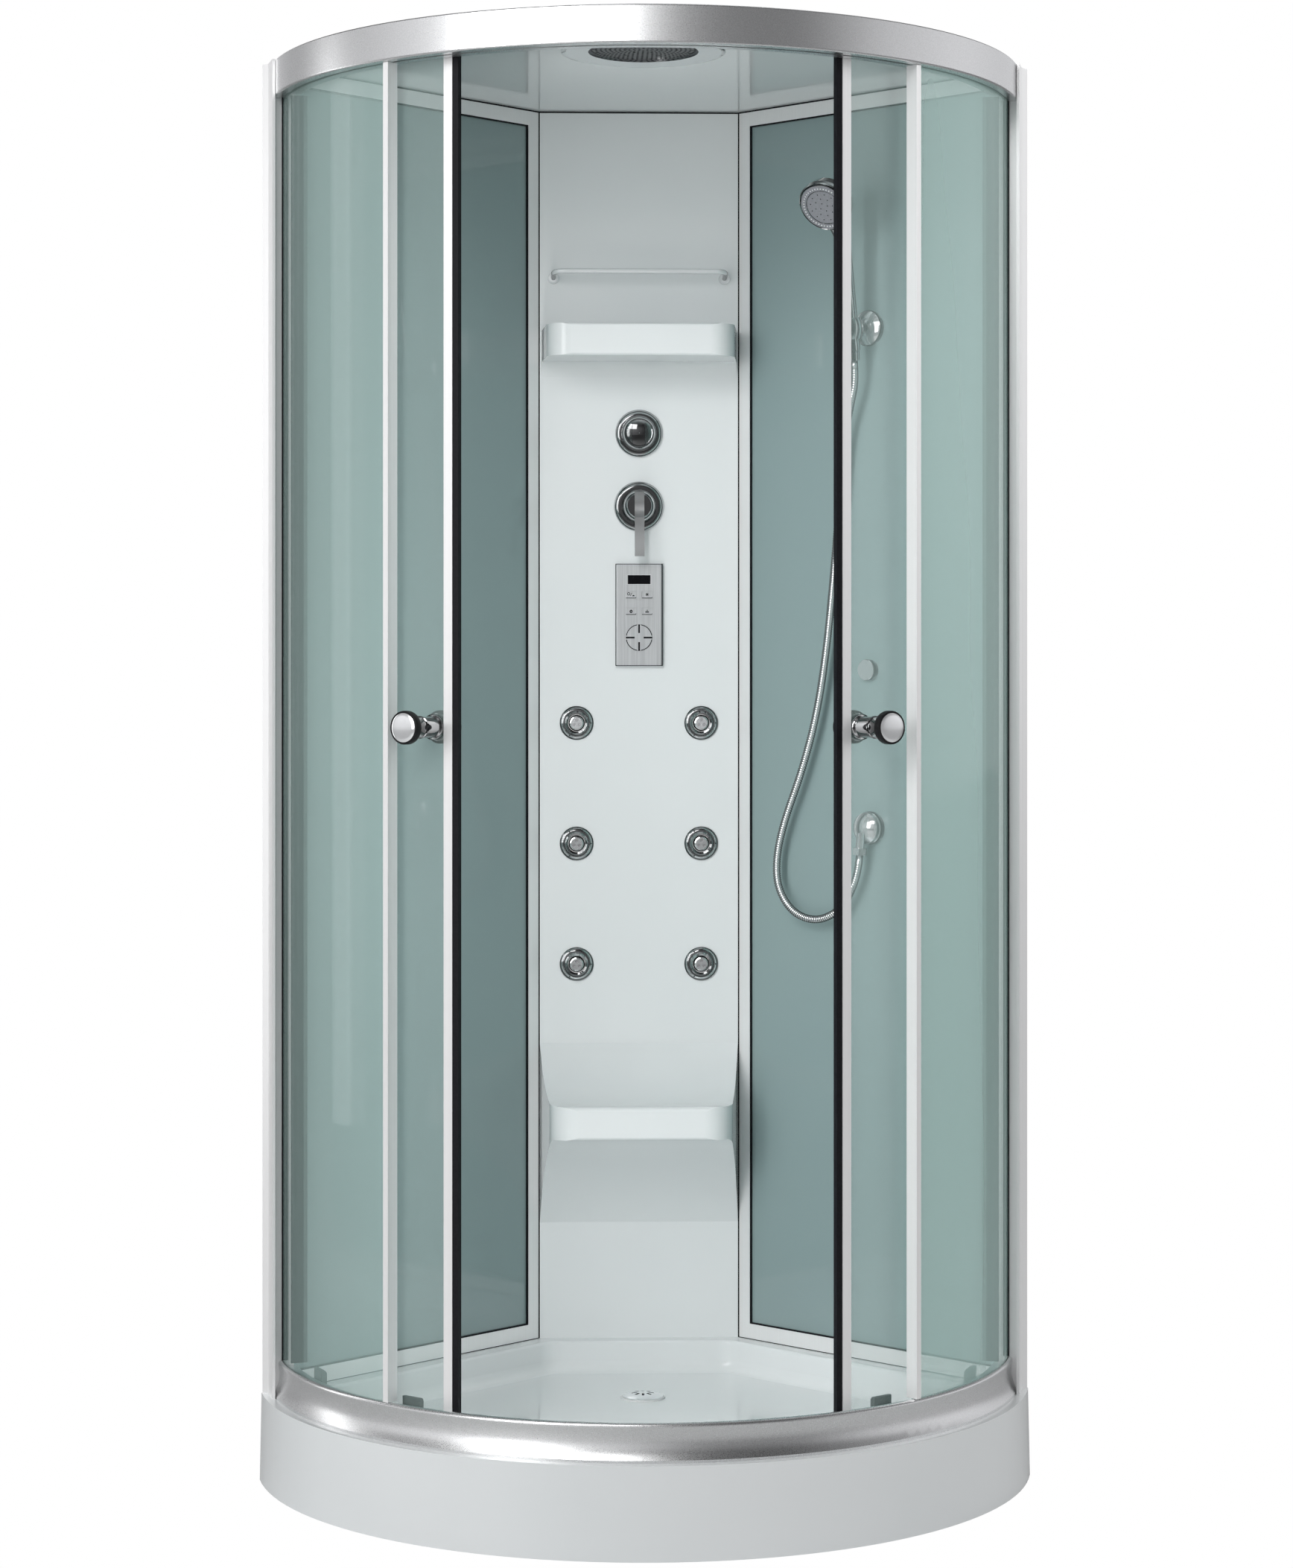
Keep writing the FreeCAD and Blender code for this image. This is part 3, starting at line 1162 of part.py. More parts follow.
def make_elbow():
    """Wall outlet: a disc, a domed body, and a spout with a hexagonal nut pointing down."""
    disc = spun("elbow_disc", [("0", "-wall_set"), ("elbow_radius", "-wall_set"),
                               ("elbow_radius", "4"), ("elbow_radius-2", "6.5")]
                + dome("elbow_radius-2", "13", "10"), on_wall("elbow_along", "elbow_height"))
    spout = facing(MOUTH, SPOUT_WAY * -1, INWARD)
    neck = rod("elbow_neck", "7.5", "elbow_drop-8", spout.multiply(
        Placement(Vector(0, 0, 1), Rotation())))
    nut = document.addObject("Part::Prism", "elbow_nut")
    nut.Polygon = 6
    bind(nut, "Circumradius", "12")
    bind(nut, "Height", "11")
    nut.Placement = spout
    return fuse("hose_elbow", [disc, neck, nut])


# The hose's route between its ends: along the wall from the fittings' middle, off the wall, and
# up from the wall outlet.
HOSE_ROUTE = (
    (13.5, 27.5, 689.7), (28.5, 23.0, 647.7), (37.5, 21.5, 587.7), (46.0, 20.5, 507.7),
    (56.0, 20.0, 413.7), (71.0, 20.5, 289.7), (91.5, 21.0, 183.7), (123.5, 21.5, 89.7),
    (161.5, 22.0, 7.7), (179.5, 22.0, -54.3), (176.5, 22.0, -104.3), (144.5, 22.0, -143.3),
    (96.5, 22.0, -155.8), (53.5, 22.0, -142.3), (26.5, 22.0, -119.3),
)
HOSE_RIBS = 96


def hose_spots():
    """The whole route: straight out of the handset's nut, along the wall, and square into the
    outlet's mouth."""
    top = GRIP - HANDLE_WAY * (NUT + value("hose_gap"))
    foot = MOUTH + SPOUT_WAY * value("hose_gap")
    along, height = value("fitting_along"), value("elbow_height")
    route = [wall_spot(along + ahead, off, height + rise) for ahead, off, rise in HOSE_ROUTE]
    return ([top, top - HANDLE_WAY * value("hose_lead")] + route
            + [foot + SPOUT_WAY * value("hose_lead"), foot])


def hose_path():
    """The route as straight runs joined by the largest tangent arcs that the runs allow."""
    spots = hose_spots()
    edges, radii = [], []
    last = spots[0]
    for before, here, after in zip(spots, spots[1:], spots[2:]):
        arrive = (here - before).normalize()
        leave = (after - here).normalize()
        half_turn = arrive.getAngle(leave) / 2
        back = 0.45 * min((here - before).Length, (after - here).Length)
        radii.append(back / math.tan(half_turn))
        start = here - arrive * back
        stop = here + leave * back
        inward = (leave - arrive).normalize()
        sag = radii[-1] * (1 / math.cos(half_turn) - 1)
        edges.append(Part.LineSegment(last, start).toShape())
        edges.append(Part.Arc(start, here + inward * sag, stop).toShape())
        last = stop
    edges.append(Part.LineSegment(last, spots[-1]).toShape())
    wire = Part.Wire(edges)
    print("hose length %.0f mm, tightest bend %.0f mm" % (wire.Length, min(radii)))
    return wire


def make_hose():
    """Wound metal hose: its ribs are a ruled loft, four circles to a rib, round a plain bore."""
    wire = hose_path()
    high, low, bore = value("hose_radius"), value("hose_valley"), value("hose_bore")
    plain = 2 * high
    pitch = (wire.Length - 2 * plain) / HOSE_RIBS
    stops = [(0.0, low), (plain, low)]
    for rib in range(HOSE_RIBS):
        for share, radius in ((0.1, low), (0.3, high), (0.7, high), (0.9, low)):
            stops.append((plain + (rib + share) * pitch, radius))
    stops += [(wire.Length - plain, low), (wire.Length, low)]
    outer, inner = [], []
    side = None
    for reach, radius in stops:
        spot, way = point_on(wire, reach)
        side = (INWARD if side is None else side)
        side = (side - way * side.dot(way)).normalize()
        frame = Rotation(side, way.cross(side), way, "ZXY")
        for circles, size in ((outer, radius), (inner, bore)):
            ring = Part.Circle(Vector(), Vector(0, 0, 1), size).toShape()
            ring.Placement = Placement(spot, frame)
            circles.append(Part.Wire([ring]))
    tube = Part.makeLoft(outer, True, True)
    hole = Part.makeLoft(inner[:1] + inner[1:-1:4] + inner[-1:], True, True)
    made = document.addObject("Part::Feature", "shower_hose")
    made.Shape = tube.cut(hole)
    made.Placement = PLAN
    return made


def point_on(wire, reach):
    """The point and the way ahead at a distance along a wire."""
    for edge in wire.OrderedEdges:
        if reach <= edge.Length + 1e-9 or edge.isSame(wire.OrderedEdges[-1]):
            at = edge.getParameterByLength(min(reach, edge.Length))
            way = edge.tangentAt(at)
            spot = edge.valueAt(at)
            return spot, way.normalize()
        reach -= edge.Length


# ---------------------------------------------------------------- doors

DOOR_LOW = "rim_height+door_foot"
DOOR_HIGH = "cabin_height-door_head"
ROLLER_HIGH = UPPER_FOOT + "+track_floor+roller_radius+0.3"
DOOR_OUTER = "door_inner+pane_thickness"
ROLLER_NEAR = "rail_inner+3"


def knob_outline(reach):
    """A knob off the glass: rose, neck, rubber ring and a slightly domed face."""
    ring = reach + "-16"
    return [("0", "0"), ("knob_radius-5", "0"), ("knob_radius-5", "3.5"),
            ("knob_radius-6", "5.5"), ("knob_radius-6.5", "7"), ("knob_radius-6.5", ring + "-2"),
            ("knob_radius-2", ring), ("knob_radius", ring + "+2"), ("knob_radius", reach + "-3"),
            ("knob_radius-1.5", reach + "-1.5")] + dome("knob_radius-3.5", reach + "-1.5", "1.5")


def make_door(name, side, rest):
    """A door at rest: an angle behind its leading edge lies further from the middle by the door's
    opening.  Its pieces: glass, leading profile, seals, knobs, carriages and two rollers."""
    def at(angle):
        return "%d*((%s)+(%s))" % (side, rest, angle)

    def bar(label, corners, start, stop, channel=None, channel_sweep=None):
        """From the trailing end forward, so that a channel opens to the glass."""
        sweep = "%d*((%s)-(%s))" % (-side, stop, start)
        return arc_bar(label, corners, at(stop), sweep, channel, channel_sweep)

    full = (DOOR_LOW, DOOR_HIGH)
    seal_end = "meeting_gap+seal_angle"
    stile_end = seal_end + "+stile_angle"
    glass_end = "door_angle-tail_angle-0.03"
    pane = bar("door_pane_" + name, box_outline("door_inner", DOOR_OUTER, *full),
               seal_end + "+0.6", glass_end)
    rollers = ("roller_lead", "roller_trail")
    drills = [rod("drill_%s_%d" % (name, number), "pin_radius+0.5", "pane_thickness+20",
                  on_front(at(angle), "door_inner-10", ROLLER_HIGH))
              for number, angle in enumerate(rollers)]
    drills.append(rod("drill_knob_" + name, "6", "pane_thickness+20",
                      on_front(at("knob_angle"), "door_inner-10", "knob_height")))
    glass = cut("door_glass_" + name, pane, fuse("drills_" + name, drills))
    stile_inner = DOOR_OUTER + "+2-stile_depth"
    stile = bar("door_profile_" + name, box_outline(stile_inner, DOOR_OUTER + "+2", *full),
                seal_end + "+0.01", stile_end,
                box_outline("door_inner-glass_gap", DOOR_OUTER + "+glass_gap", "rim_height",
                            "cabin_height"), "stile_angle-0.55")
    magnet = bar("magnet_seal_" + name, box_outline(stile_inner + "+1.5", DOOR_OUTER + "+1", *full),
                 "meeting_gap", seal_end)
    tail = bar("tail_seal_" + name, box_outline("door_inner-1", "pane_inner-0.7",
               LOWER_TOP + "+2", UPPER_FOOT + "-2"), "door_angle-tail_angle", "door_angle")
    seals = group("door_seals_" + name, [magnet, tail])

    outer = spun("knob_outer_" + name, knob_outline("knob_reach"),
                 on_front(at("knob_angle"), DOOR_OUTER + "+glass_gap", "knob_height"))
    bolt = rod("knob_bolt_" + name, "5", "pane_thickness+4*glass_gap",
               on_front(at("knob_angle"), "door_inner-2*glass_gap", "knob_height"))
    flip = Placement(Vector(), Rotation(Vector(0, 1, 0), 180))
    inner = spun("knob_inner_" + name, knob_outline("knob_inner"),
                 on_front(at("knob_angle"), "door_inner-2*glass_gap", "knob_height").multiply(flip))
    knobs = fuse("door_knobs_" + name, [outer, bolt, inner])

    carriages = []
    wheels = []
    for number, angle in enumerate(rollers, 1):
        place = on_front(at(angle), "0", ROLLER_HIGH)
        near, far = ROLLER_NEAR, ROLLER_NEAR + "+roller_width"
        carriages.append(spun("hanger_%s_%d" % (name, number), [
            ("0", "door_inner-9"), ("11", "door_inner-9"), ("12", "door_inner-7"),
            ("12", "door_inner-0.4"), ("pin_radius", "door_inner-0.4"),
            ("pin_radius", DOOR_OUTER + "+0.3"), ("7", DOOR_OUTER + "+0.3"),
            ("7", near + "-2"), ("5", near + "-0.3"), ("pin_radius", near + "-0.3"),
            ("pin_radius", far + "+0.3"), ("4.6", far + "+0.3"), ("4.6", far + "+1.8"),
            ("0", far + "+1.8")], place))
        wheels.append(spun("roller_%s_%d" % (name, number), [
            ("pin_radius+pin_room", near), ("roller_radius-2", near),
            ("roller_radius", near + "+1.6"), ("roller_radius-0.9", near + "+roller_width/2"),
            ("roller_radius", far + "-1.6"), ("roller_radius-2", far),
            ("pin_radius+pin_room", far)], place))
    foot = DOOR_LOW + "-18"
    for number, angle in enumerate(("guide_lead", "guide_trail"), 1):
        body = new_body("guide_%s_%d" % (name, number), on_front(at(angle), "0", "0"))
        drawn = new_sketch(body, "YZ_Plane", "guide_side_%s_%d" % (name, number))
        near = "door_inner-0.4"
        outline(drawn, [
            (foot, "door_inner-9"), (DOOR_LOW + "+12", "door_inner-9"),
            (DOOR_LOW + "+16", "door_inner-6"), (DOOR_LOW + "+16", near),
            (DOOR_LOW + "-0.5", near), (DOOR_LOW + "-0.5", "rail_inner-1.5"),
            (foot + "+10", "rail_inner-1.5"), (foot + "+10", "rail_inner+track_depth-2"),
            (foot, "rail_inner+track_depth-2")])
        extrude(body, "Pad", drawn, "guide_wide", both_ways=True)
        carriages.append(body)
    return [glass, stile, seals, knobs, group("door_carriages_" + name, carriages)] + wheels


# ---------------------------------------------------------------- build and write

def build():
    left_frame, left_glass = make_wall(-1, "left")
    right_frame, right_glass = make_wall(1, "right")
    boss, lever = make_mixer()
    plate, screen = make_control()
    bezels, balls = make_jets()
    ring, rose = make_rain_shower()
    base, clip = make_holder()
    handset, face = make_handset()
    nodes = [
        make_tray(), make_tray_frame(), make_feet(), make_waste(), make_drain_cover(),
        make_lower_rail(), make_upper_rail(), make_posts(), make_fixed_glass(),
        make_fixed_profiles(), make_gaskets(), left_frame, right_frame,
        group("wall_panels", [left_glass, right_glass]), make_column(), make_towel_rail(),
        make_roof(), ring, rose, make_escutcheons(), make_valve_bodies(), make_diverter_knob(),
        boss, lever, plate, screen, bezels, base, clip, handset, face, make_cap(), make_elbow(),
        make_hose(), make_steam_generator()]
    nodes += make_keys() + balls
    nodes += make_door("left", -1, "left_rest") + make_door("right", 1, "right_rest")
    return nodes


def check(nodes):
    """Stops if any object of the document failed, or a node's shape isn't sound."""
    document.recompute()
    failed = [one.Label for one in document.Objects
              if any(word in one.State for word in ("Invalid", "Error"))]
    for node in nodes:
        if node.Shape.isNull() or not node.Shape.isValid() or not node.Shape.Solids:
            failed.append(node.Label)
    if failed:
        raise RuntimeError("not sound: " + ", ".join(sorted(set(failed))))


def main():
    nodes = build()
    check(nodes)
    os.makedirs("parts", exist_ok=True)
    for node in nodes:
        node.Shape.exportStep("parts/%s.step" % node.Label)
    print("%d nodes written" % len(nodes))


main()
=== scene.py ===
"""Looks of the steam shower cabin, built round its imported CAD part.

Lengths are in metres. +Z is up, the doors face -Y, and +X is on the right seen from the front.
"""
import math

import bmesh
import bpy
from mathutils import Matrix, Vector


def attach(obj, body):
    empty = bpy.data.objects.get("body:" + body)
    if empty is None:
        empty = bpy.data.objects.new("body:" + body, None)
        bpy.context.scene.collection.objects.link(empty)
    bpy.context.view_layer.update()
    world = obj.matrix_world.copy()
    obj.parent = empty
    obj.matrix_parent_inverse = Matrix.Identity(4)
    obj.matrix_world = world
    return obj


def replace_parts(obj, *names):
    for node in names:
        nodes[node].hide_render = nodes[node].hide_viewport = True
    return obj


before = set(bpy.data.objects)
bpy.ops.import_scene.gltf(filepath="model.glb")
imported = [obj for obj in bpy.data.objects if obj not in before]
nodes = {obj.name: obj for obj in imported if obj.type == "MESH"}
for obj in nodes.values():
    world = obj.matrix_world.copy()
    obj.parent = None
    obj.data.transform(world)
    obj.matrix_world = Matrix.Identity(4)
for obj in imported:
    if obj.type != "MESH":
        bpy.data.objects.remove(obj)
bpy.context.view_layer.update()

UP = Vector((0, 0, 1))
ROUND = 2 * math.pi
AXIS_Y = 0.06061                   # the axis of the curved front
# The face of the right wall in plan, measured from that axis.
WALL_FRONT = (0.5873, -0.118)      # at the post
WALL_BACK = (0.1673, 0.302)        # at the column
WALL_LENGTH = (Vector((*WALL_BACK, 0)) - Vector((*WALL_FRONT, 0))).length
WALL_START = Vector((WALL_FRONT[0], WALL_FRONT[1] + AXIS_Y, 0))
ALONG = Vector((-1, 1, 0)).normalized()      # along the right wall, towards the back
INWARD = Vector((-1, -1, 0)).normalized()    # off the right wall, into the cabin
FACE_Y = AXIS_Y + WALL_BACK[1]     # the column's face


# ---------------------------------------------------------------- material nodes

NOISE_LOW, NOISE_HIGH = 0.3, 0.7   # the part of a noise's range that is put to use
FINE_BUMP = 0.00005


def shader(name, color, rough, metallic=0.0, **more):
    """A principled material, its node tree and its main node."""
    made = bpy.data.materials.new(name)
    made.use_nodes = True
    tree = made.node_tree
    main = tree.nodes["Principled BSDF"]
    main.inputs["Base Color"].default_value = (*color, 1)
    main.inputs["Roughness"].default_value = rough
    main.inputs["Metallic"].default_value = metallic
    for key, value in more.items():
        main.inputs[key.replace("_", " ")].default_value = value
    return made, tree, main


def spread(tree, scale, detail=3.0, stretch=(1, 1, 1)):
    """Noise over the object's own coordinates."""
    where = tree.nodes.new("ShaderNodeTexCoord")
    fit = tree.nodes.new("ShaderNodeMapping")
    fit.inputs["Scale"].default_value = stretch
    noise = tree.nodes.new("ShaderNodeTexNoise")
    noise.inputs["Scale"].default_value = scale
    noise.inputs["Detail"].default_value = detail
    tree.links.new(where.outputs["Object"], fit.inputs["Vector"])
    tree.links.new(fit.outputs["Vector"], noise.inputs["Vector"])
    return noise.outputs["Fac"]


def map_range(tree, value, start, stop, low, high):
    """A node that carries a value from start and stop over to low and high."""
    made = tree.nodes.new("ShaderNodeMapRange")
    made.inputs["From Min"].default_value = start
    made.inputs["From Max"].default_value = stop
    made.inputs["To Min"].default_value = low
    made.inputs["To Max"].default_value = high
    tree.links.new(value, made.inputs["Value"])
    return made


def color_ramp(tree, value, stops):
    """Colours along a value from 0 to 1. A stop is a position and its colour."""
    made = tree.nodes.new("ShaderNodeValToRGB")
    elements = made.color_ramp.elements
    for spot, _ in stops[1:-1]:
        elements.new(spot)
    for element, (spot, color) in zip(elements, stops):
        element.position = spot
        element.color = (*color, 1)
    tree.links.new(value, made.inputs["Fac"])
    return made.outputs["Color"]


def vary_color(tree, main, noise, low, high):
    """Lets the base colour follow a noise."""
    color = color_ramp(tree, noise, ((NOISE_LOW, low), (NOISE_HIGH, high)))
    tree.links.new(color, main.inputs["Base Color"])


def vary_rough(tree, main, noise, low, high):
    """Lets the roughness follow a noise."""
    reach = map_range(tree, noise, NOISE_LOW, NOISE_HIGH, low, high)
    tree.links.new(reach.outputs["Result"], main.inputs["Roughness"])


def bumpy(tree, main, noise, distance, strength):
    """Lets the surface rise and fall with a noise."""
    bump = tree.nodes.new("ShaderNodeBump")
    bump.inputs["Strength"].default_value = strength
    bump.inputs["Distance"].default_value = distance
    tree.links.new(noise, bump.inputs["Height"])
    tree.links.new(bump.outputs["Normal"], main.inputs["Normal"])


# ---------------------------------------------------------------- materials

def make_white():
    """Glossy sanitary acrylic with a faint waviness."""
    made, tree, main = shader("white_acrylic", (0.80, 0.83, 0.835), 0.13, IOR=1.49,
                              Coat_Weight=0.35, Coat_Roughness=0.04)
    vary_color(tree, main, spread(tree, 2.2), (0.785, 0.818, 0.824), (0.82, 0.845, 0.85))
    bumpy(tree, main, spread(tree, 7.0, 2.0), 0.0006, 0.25)
    return made


def make_aluminium(name, color, rough, grain=900.0, upright=False, metal=1.0):
    """Satin anodised aluminium: a fine grain, or drawing lines where it stands upright."""
    made, tree, main = shader(name, color, rough, metal)
    stretch = (1, 1, 0.001) if upright else (1, 1, 1)
    reach = 0.02 if upright else 0.06
    noise = spread(tree, grain, 2.0, stretch)
    vary_rough(tree, main, noise, rough - reach, rough + reach)
    low = tuple((1 - reach) * one for one in color)
    high = tuple(min(1.0, (1 + reach / 2) * one) for one in color)
    vary_color(tree, main, spread(tree, grain * 0.6, 2.0, stretch), low, high)
    if not upright:
        bumpy(tree, main, noise, 0.00004, 0.3)
    return made


def make_chrome(name, painted_reflection_bands, rough=0.07, metal=1.0):
    """Polished metal whose base colour carries painted reflection: bands of tone from head on to
    edge on, standing for the room it mirrors.
    """
    made, tree, main = shader(name, (0.85, 0.86, 0.87), rough, metal)
    vary_rough(tree, main, spread(tree, 60.0), rough - 0.02, rough + 0.04)
    lean = tree.nodes.new("ShaderNodeLayerWeight")
    lean.inputs["Blend"].default_value = 0.5
    stops = [(spot, (tone * 0.985, tone, tone * 1.01)) for spot, tone in painted_reflection_bands]
    # The base colour follows the facing: a painted reflection of the room.
    color = color_ramp(tree, lean.outputs["Facing"], stops)
    tree.links.new(color, main.inputs["Base Color"])
    return made


def make_brushed():
    """Stainless sheet with fine upright brushing."""
    made, tree, main = shader("brushed_steel", (0.6, 0.61, 0.62), 0.4, 0.55)
    noise = spread(tree, 420.0, 4.0, (1, 1, 0.02))
    vary_color(tree, main, noise, (0.53, 0.54, 0.55), (0.66, 0.67, 0.68))
    vary_rough(tree, main, noise, 0.34, 0.46)
    return made


def make_pane(name, color, alpha, painted_sheen):
    """Clear toughened glass with a faint green body and soft streaks; towards the right it is
    painted paler and less clear, a painted sheen of light and reflection from the right.
    """
    made, tree, main = shader(name, color, 0.03, 0.0, IOR=1.5)
    noise = spread(tree, 3.0, 2.0, (1, 1, 0.25))
    streaks = map_range(tree, noise, NOISE_LOW, NOISE_HIGH, alpha - 0.02, alpha + 0.03)
    where = tree.nodes.new("ShaderNodeTexCoord")
    split = tree.nodes.new("ShaderNodeSeparateXYZ")
    tree.links.new(where.outputs["Object"], split.inputs["Vector"])
    # Painted sheen: the glass grows paler and less clear towards the right, where light and
    # reflection fall on it.
    side = map_range(tree, split.outputs["X"], 0.2, 0.42, 0.0, painted_sheen)
    side.interpolation_type = "SMOOTHSTEP"
    total = tree.nodes.new("ShaderNodeMath")
    total.operation = "ADD"
    tree.links.new(streaks.outputs["Result"], total.inputs[0])
    tree.links.new(side.outputs["Result"], total.inputs[1])
    tree.links.new(total.outputs["Value"], main.inputs["Alpha"])
    vary_rough(tree, main, noise, 0.02, 0.05)
    made.surface_render_method = "BLENDED"
    return made


def make_wall_glass():
    """Toughened glass with a grey-green coat on its back."""
    made, tree, main = shader("wall_glass_coated", (0.26, 0.345, 0.345), 0.1, IOR=1.5,
                              Coat_Weight=0.6, Coat_Roughness=0.03)
    vary_color(tree, main, spread(tree, 1.6, 2.0, (1, 1, 0.5)),
               (0.24, 0.322, 0.325), (0.275, 0.362, 0.36))
    vary_rough(tree, main, spread(tree, 5.0), 0.08, 0.16)
    return made


def make_plastic(name, low, high, rough, scale=300.0, shine=0.5):
    """Plastic or rubber with a fine grain."""
    made, tree, main = shader(name, high, rough, IOR=1.47, Specular_IOR_Level=shine)
    noise = spread(tree, scale, 4.0)
    vary_color(tree, main, noise, low, high)
    vary_rough(tree, main, noise, rough - 0.06, rough + 0.08)
    bumpy(tree, main, noise, FINE_BUMP, 0.5)
    return made


def make_metal(name, low, high, rough):
    """Plain metal that is seldom seen: painted, plated or as cast."""
    made, tree, main = shader(name, high, rough, 1.0)
    noise = spread(tree, 120.0, 4.0)
    vary_color(tree, main, noise, low, high)
    vary_rough(tree, main, noise, rough - 0.05, rough + 0.1)
    bumpy(tree, main, noise, FINE_BUMP, 0.4)
    return made


WHITE = make_white()
RAIL = make_aluminium("satin_rail", (0.80, 0.805, 0.81), 0.30)
STILE = make_aluminium("satin_stile", (0.96, 0.96, 0.96), 0.36, 700.0, True, 0.4)
# The bands of a chrome are painted reflection, in pairs: how far the surface leans from the
# viewer, and the painted tone there.
CHROME = make_chrome(
    "polished_chrome",
    ((0.0, 0.1), (0.05, 0.22), (0.1, 0.9), (0.16, 0.35), (0.24, 0.06), (0.36, 0.85), (0.5, 0.18),
     (0.66, 0.06), (0.8, 0.75), (1.0, 0.3)))
# The wall fittings, the knob domes and the knobs carry painted reflection bands of their own.
WALL_CHROME = make_chrome(
    "wall_chrome",
    ((0.0, 0.6), (0.12, 0.75), (0.26, 0.92), (0.33, 0.2), (0.46, 0.3), (0.58, 0.85), (0.8, 0.3),
     (1.0, 0.6)), 0.12, 0.75)
DOME = make_chrome("dome_chrome", ((0.0, 0.9), (0.3, 0.95), (0.5, 0.6), (1.0, 0.5)), 0.14, 0.7)
BRIGHT = make_chrome(
    "bright_chrome", ((0.0, 0.95), (0.4, 0.9), (0.8, 0.45), (1.0, 0.3)), 0.14, 0.75)
BRUSHED = make_brushed()
# The fixed panes carry a strong painted sheen on the right, the door glass a faint one.
PANE = make_pane("pane_glass", (0.56, 0.76, 0.72), 0.17, 0.19)
DOOR_PANE = make_pane("door_glass", (0.58, 0.75, 0.72), 0.13, 0.04)
WALL = make_wall_glass()
BLACK = make_plastic("black_seal", (0.004, 0.004, 0.006), (0.01, 0.01, 0.013), 0.5, shine=0.2)
RUBBER = make_plastic("grip_rubber", (0.004, 0.004, 0.005), (0.011, 0.011, 0.012), 0.5,
                      shine=0.25)
DARK = make_plastic("dark_moulding", (0.03, 0.03, 0.032), (0.06, 0.06, 0.062), 0.5)
SCREEN = make_plastic("display_window", (0.002, 0.002, 0.003), (0.004, 0.004, 0.006), 0.2, 80.0,
                      shine=0.15)
# The rain plate's dark grey is painted shade on a metal plate that faces down.
PERFORATED = make_plastic("perforated_plate", (0.07, 0.072, 0.075), (0.1, 0.102, 0.105), 0.4)
FACE_GREY = make_plastic("spray_grey", (0.24, 0.245, 0.265), (0.29, 0.295, 0.32), 0.5)
NOZZLE = make_plastic("nozzle_white", (0.75, 0.76, 0.78), (0.85, 0.86, 0.87), 0.4)
NYLON = make_plastic("nylon", (0.7, 0.7, 0.68), (0.8, 0.8, 0.78), 0.45)
PVC = make_plastic("waste_plastic", (0.68, 0.69, 0.69), (0.76, 0.77, 0.77), 0.45)
STEEL = make_metal("painted_steel", (0.34, 0.35, 0.36), (0.42, 0.43, 0.44), 0.5)
ZINC = make_metal("zinc_plate", (0.5, 0.5, 0.52), (0.64, 0.64, 0.66), 0.35)
BRASS = make_metal("rough_brass", (0.5, 0.36, 0.16), (0.66, 0.5, 0.24), 0.35)
# The hose's bands paint a highlight down its middle and shade along its edges.
HOSE = make_chrome(
    "wound_hose", ((0.0, 0.95), (0.12, 0.8), (0.3, 0.3), (0.6, 0.08), (1.0, 0.05)), 0.2, 0.9)
# The lever, the jets, the flat rings and the towel rail carry painted reflection bands too.
LEVER = make_chrome(
    "satin_lever", ((0.0, 0.36), (0.15, 0.3), (0.4, 0.8), (0.7, 0.12), (1.0, 0.06)), 0.3, 0.7)
JET = make_chrome(
    "jet_chrome",
    ((0.0, 0.95), (0.06, 0.8), (0.14, 0.12), (0.3, 0.9), (0.5, 0.1), (1.0, 0.2)), 0.08, 0.85)
RING = make_chrome("flat_chrome", ((0.0, 0.85), (0.5, 0.92), (1.0, 0.99)), 0.09)
# Dark rims of the wall discs: painted shade and dark reflection on their sides.
PAINTED_SHADE_RIM = make_chrome("painted_shade_rim", ((0.0, 0.1), (0.5, 0.16), (1.0, 0.3)), 0.15)
SILVER = make_chrome(
    "bright_tube", ((0.0, 0.95), (0.45, 0.95), (0.7, 0.4), (1.0, 0.15)), 0.2, 0.4)
# Ink for the panel's print, also used for the painted shade round the plate.
PRINT_AND_SHADE = make_plastic("panel_print_and_shade", (0.004, 0.004, 0.006), (0.01, 0.01, 0.014), 0.5, shine=0.2)

LOOKS = {
    WHITE: ["tray", "column", "roof"],
    RAIL: ["lower_rail", "upper_rail"],
    STILE: ["posts", "fixed_profiles", "wall_frame_left", "wall_frame_right",
            "door_profile_left", "door_profile_right"],
    PANE: ["fixed_panes"],
    DOOR_PANE: ["door_glass_left", "door_glass_right"],
    WALL: ["wall_panels"],
    BLACK: ["pane_gaskets", "door_seals_left", "door_seals_right"],
    CHROME: ["valve_escutcheons", "diverter_knob", "mixer_boss",
             "jet_bezels", "holder_clip", "handset"],
    LEVER: ["mixer_lever"],
    JET: ["jet_nozzle_%d" % number for number in range(1, 7)],
    SILVER: ["towel_rail"],
    WALL_CHROME: ["holder_base", "wall_cap", "hose_elbow"],
    BRIGHT: ["door_knobs_left", "door_knobs_right"],
    RING: ["rain_shower", "drain_cover"],
    BRUSHED: ["control_plate", "key_power", "key_light", "key_shower", "key_steam", "nav_pad"],
    SCREEN: ["display"],
    PERFORATED: ["rain_plate"],
    FACE_GREY: ["spray_face"],
    DARK: ["door_carriages_left", "door_carriages_right"],
    NYLON: ["roller_left_1", "roller_left_2", "roller_right_1", "roller_right_2"],
    STEEL: ["tray_frame", "steam_generator"],
    ZINC: ["levelling_feet"],
    PVC: ["waste_trap"],
    BRASS: ["valve_bodies"],
}
for look, names in LOOKS.items():
    for name in names:
        for held in nodes[name].material_slots:
            held.material = look


# ---------------------------------------------------------------- tools for pieces

POINT = 1e-7                 # a radius below this is a point on the axis
SHARP_ANGLE = math.radians(38)
DOT_STEPS = 8
DOT_CROWN = ((1.0, 0.0), (0.86, 0.7), (0.45, 1.0))   # shares of a dot's radius and height
ARC_STEPS = 24


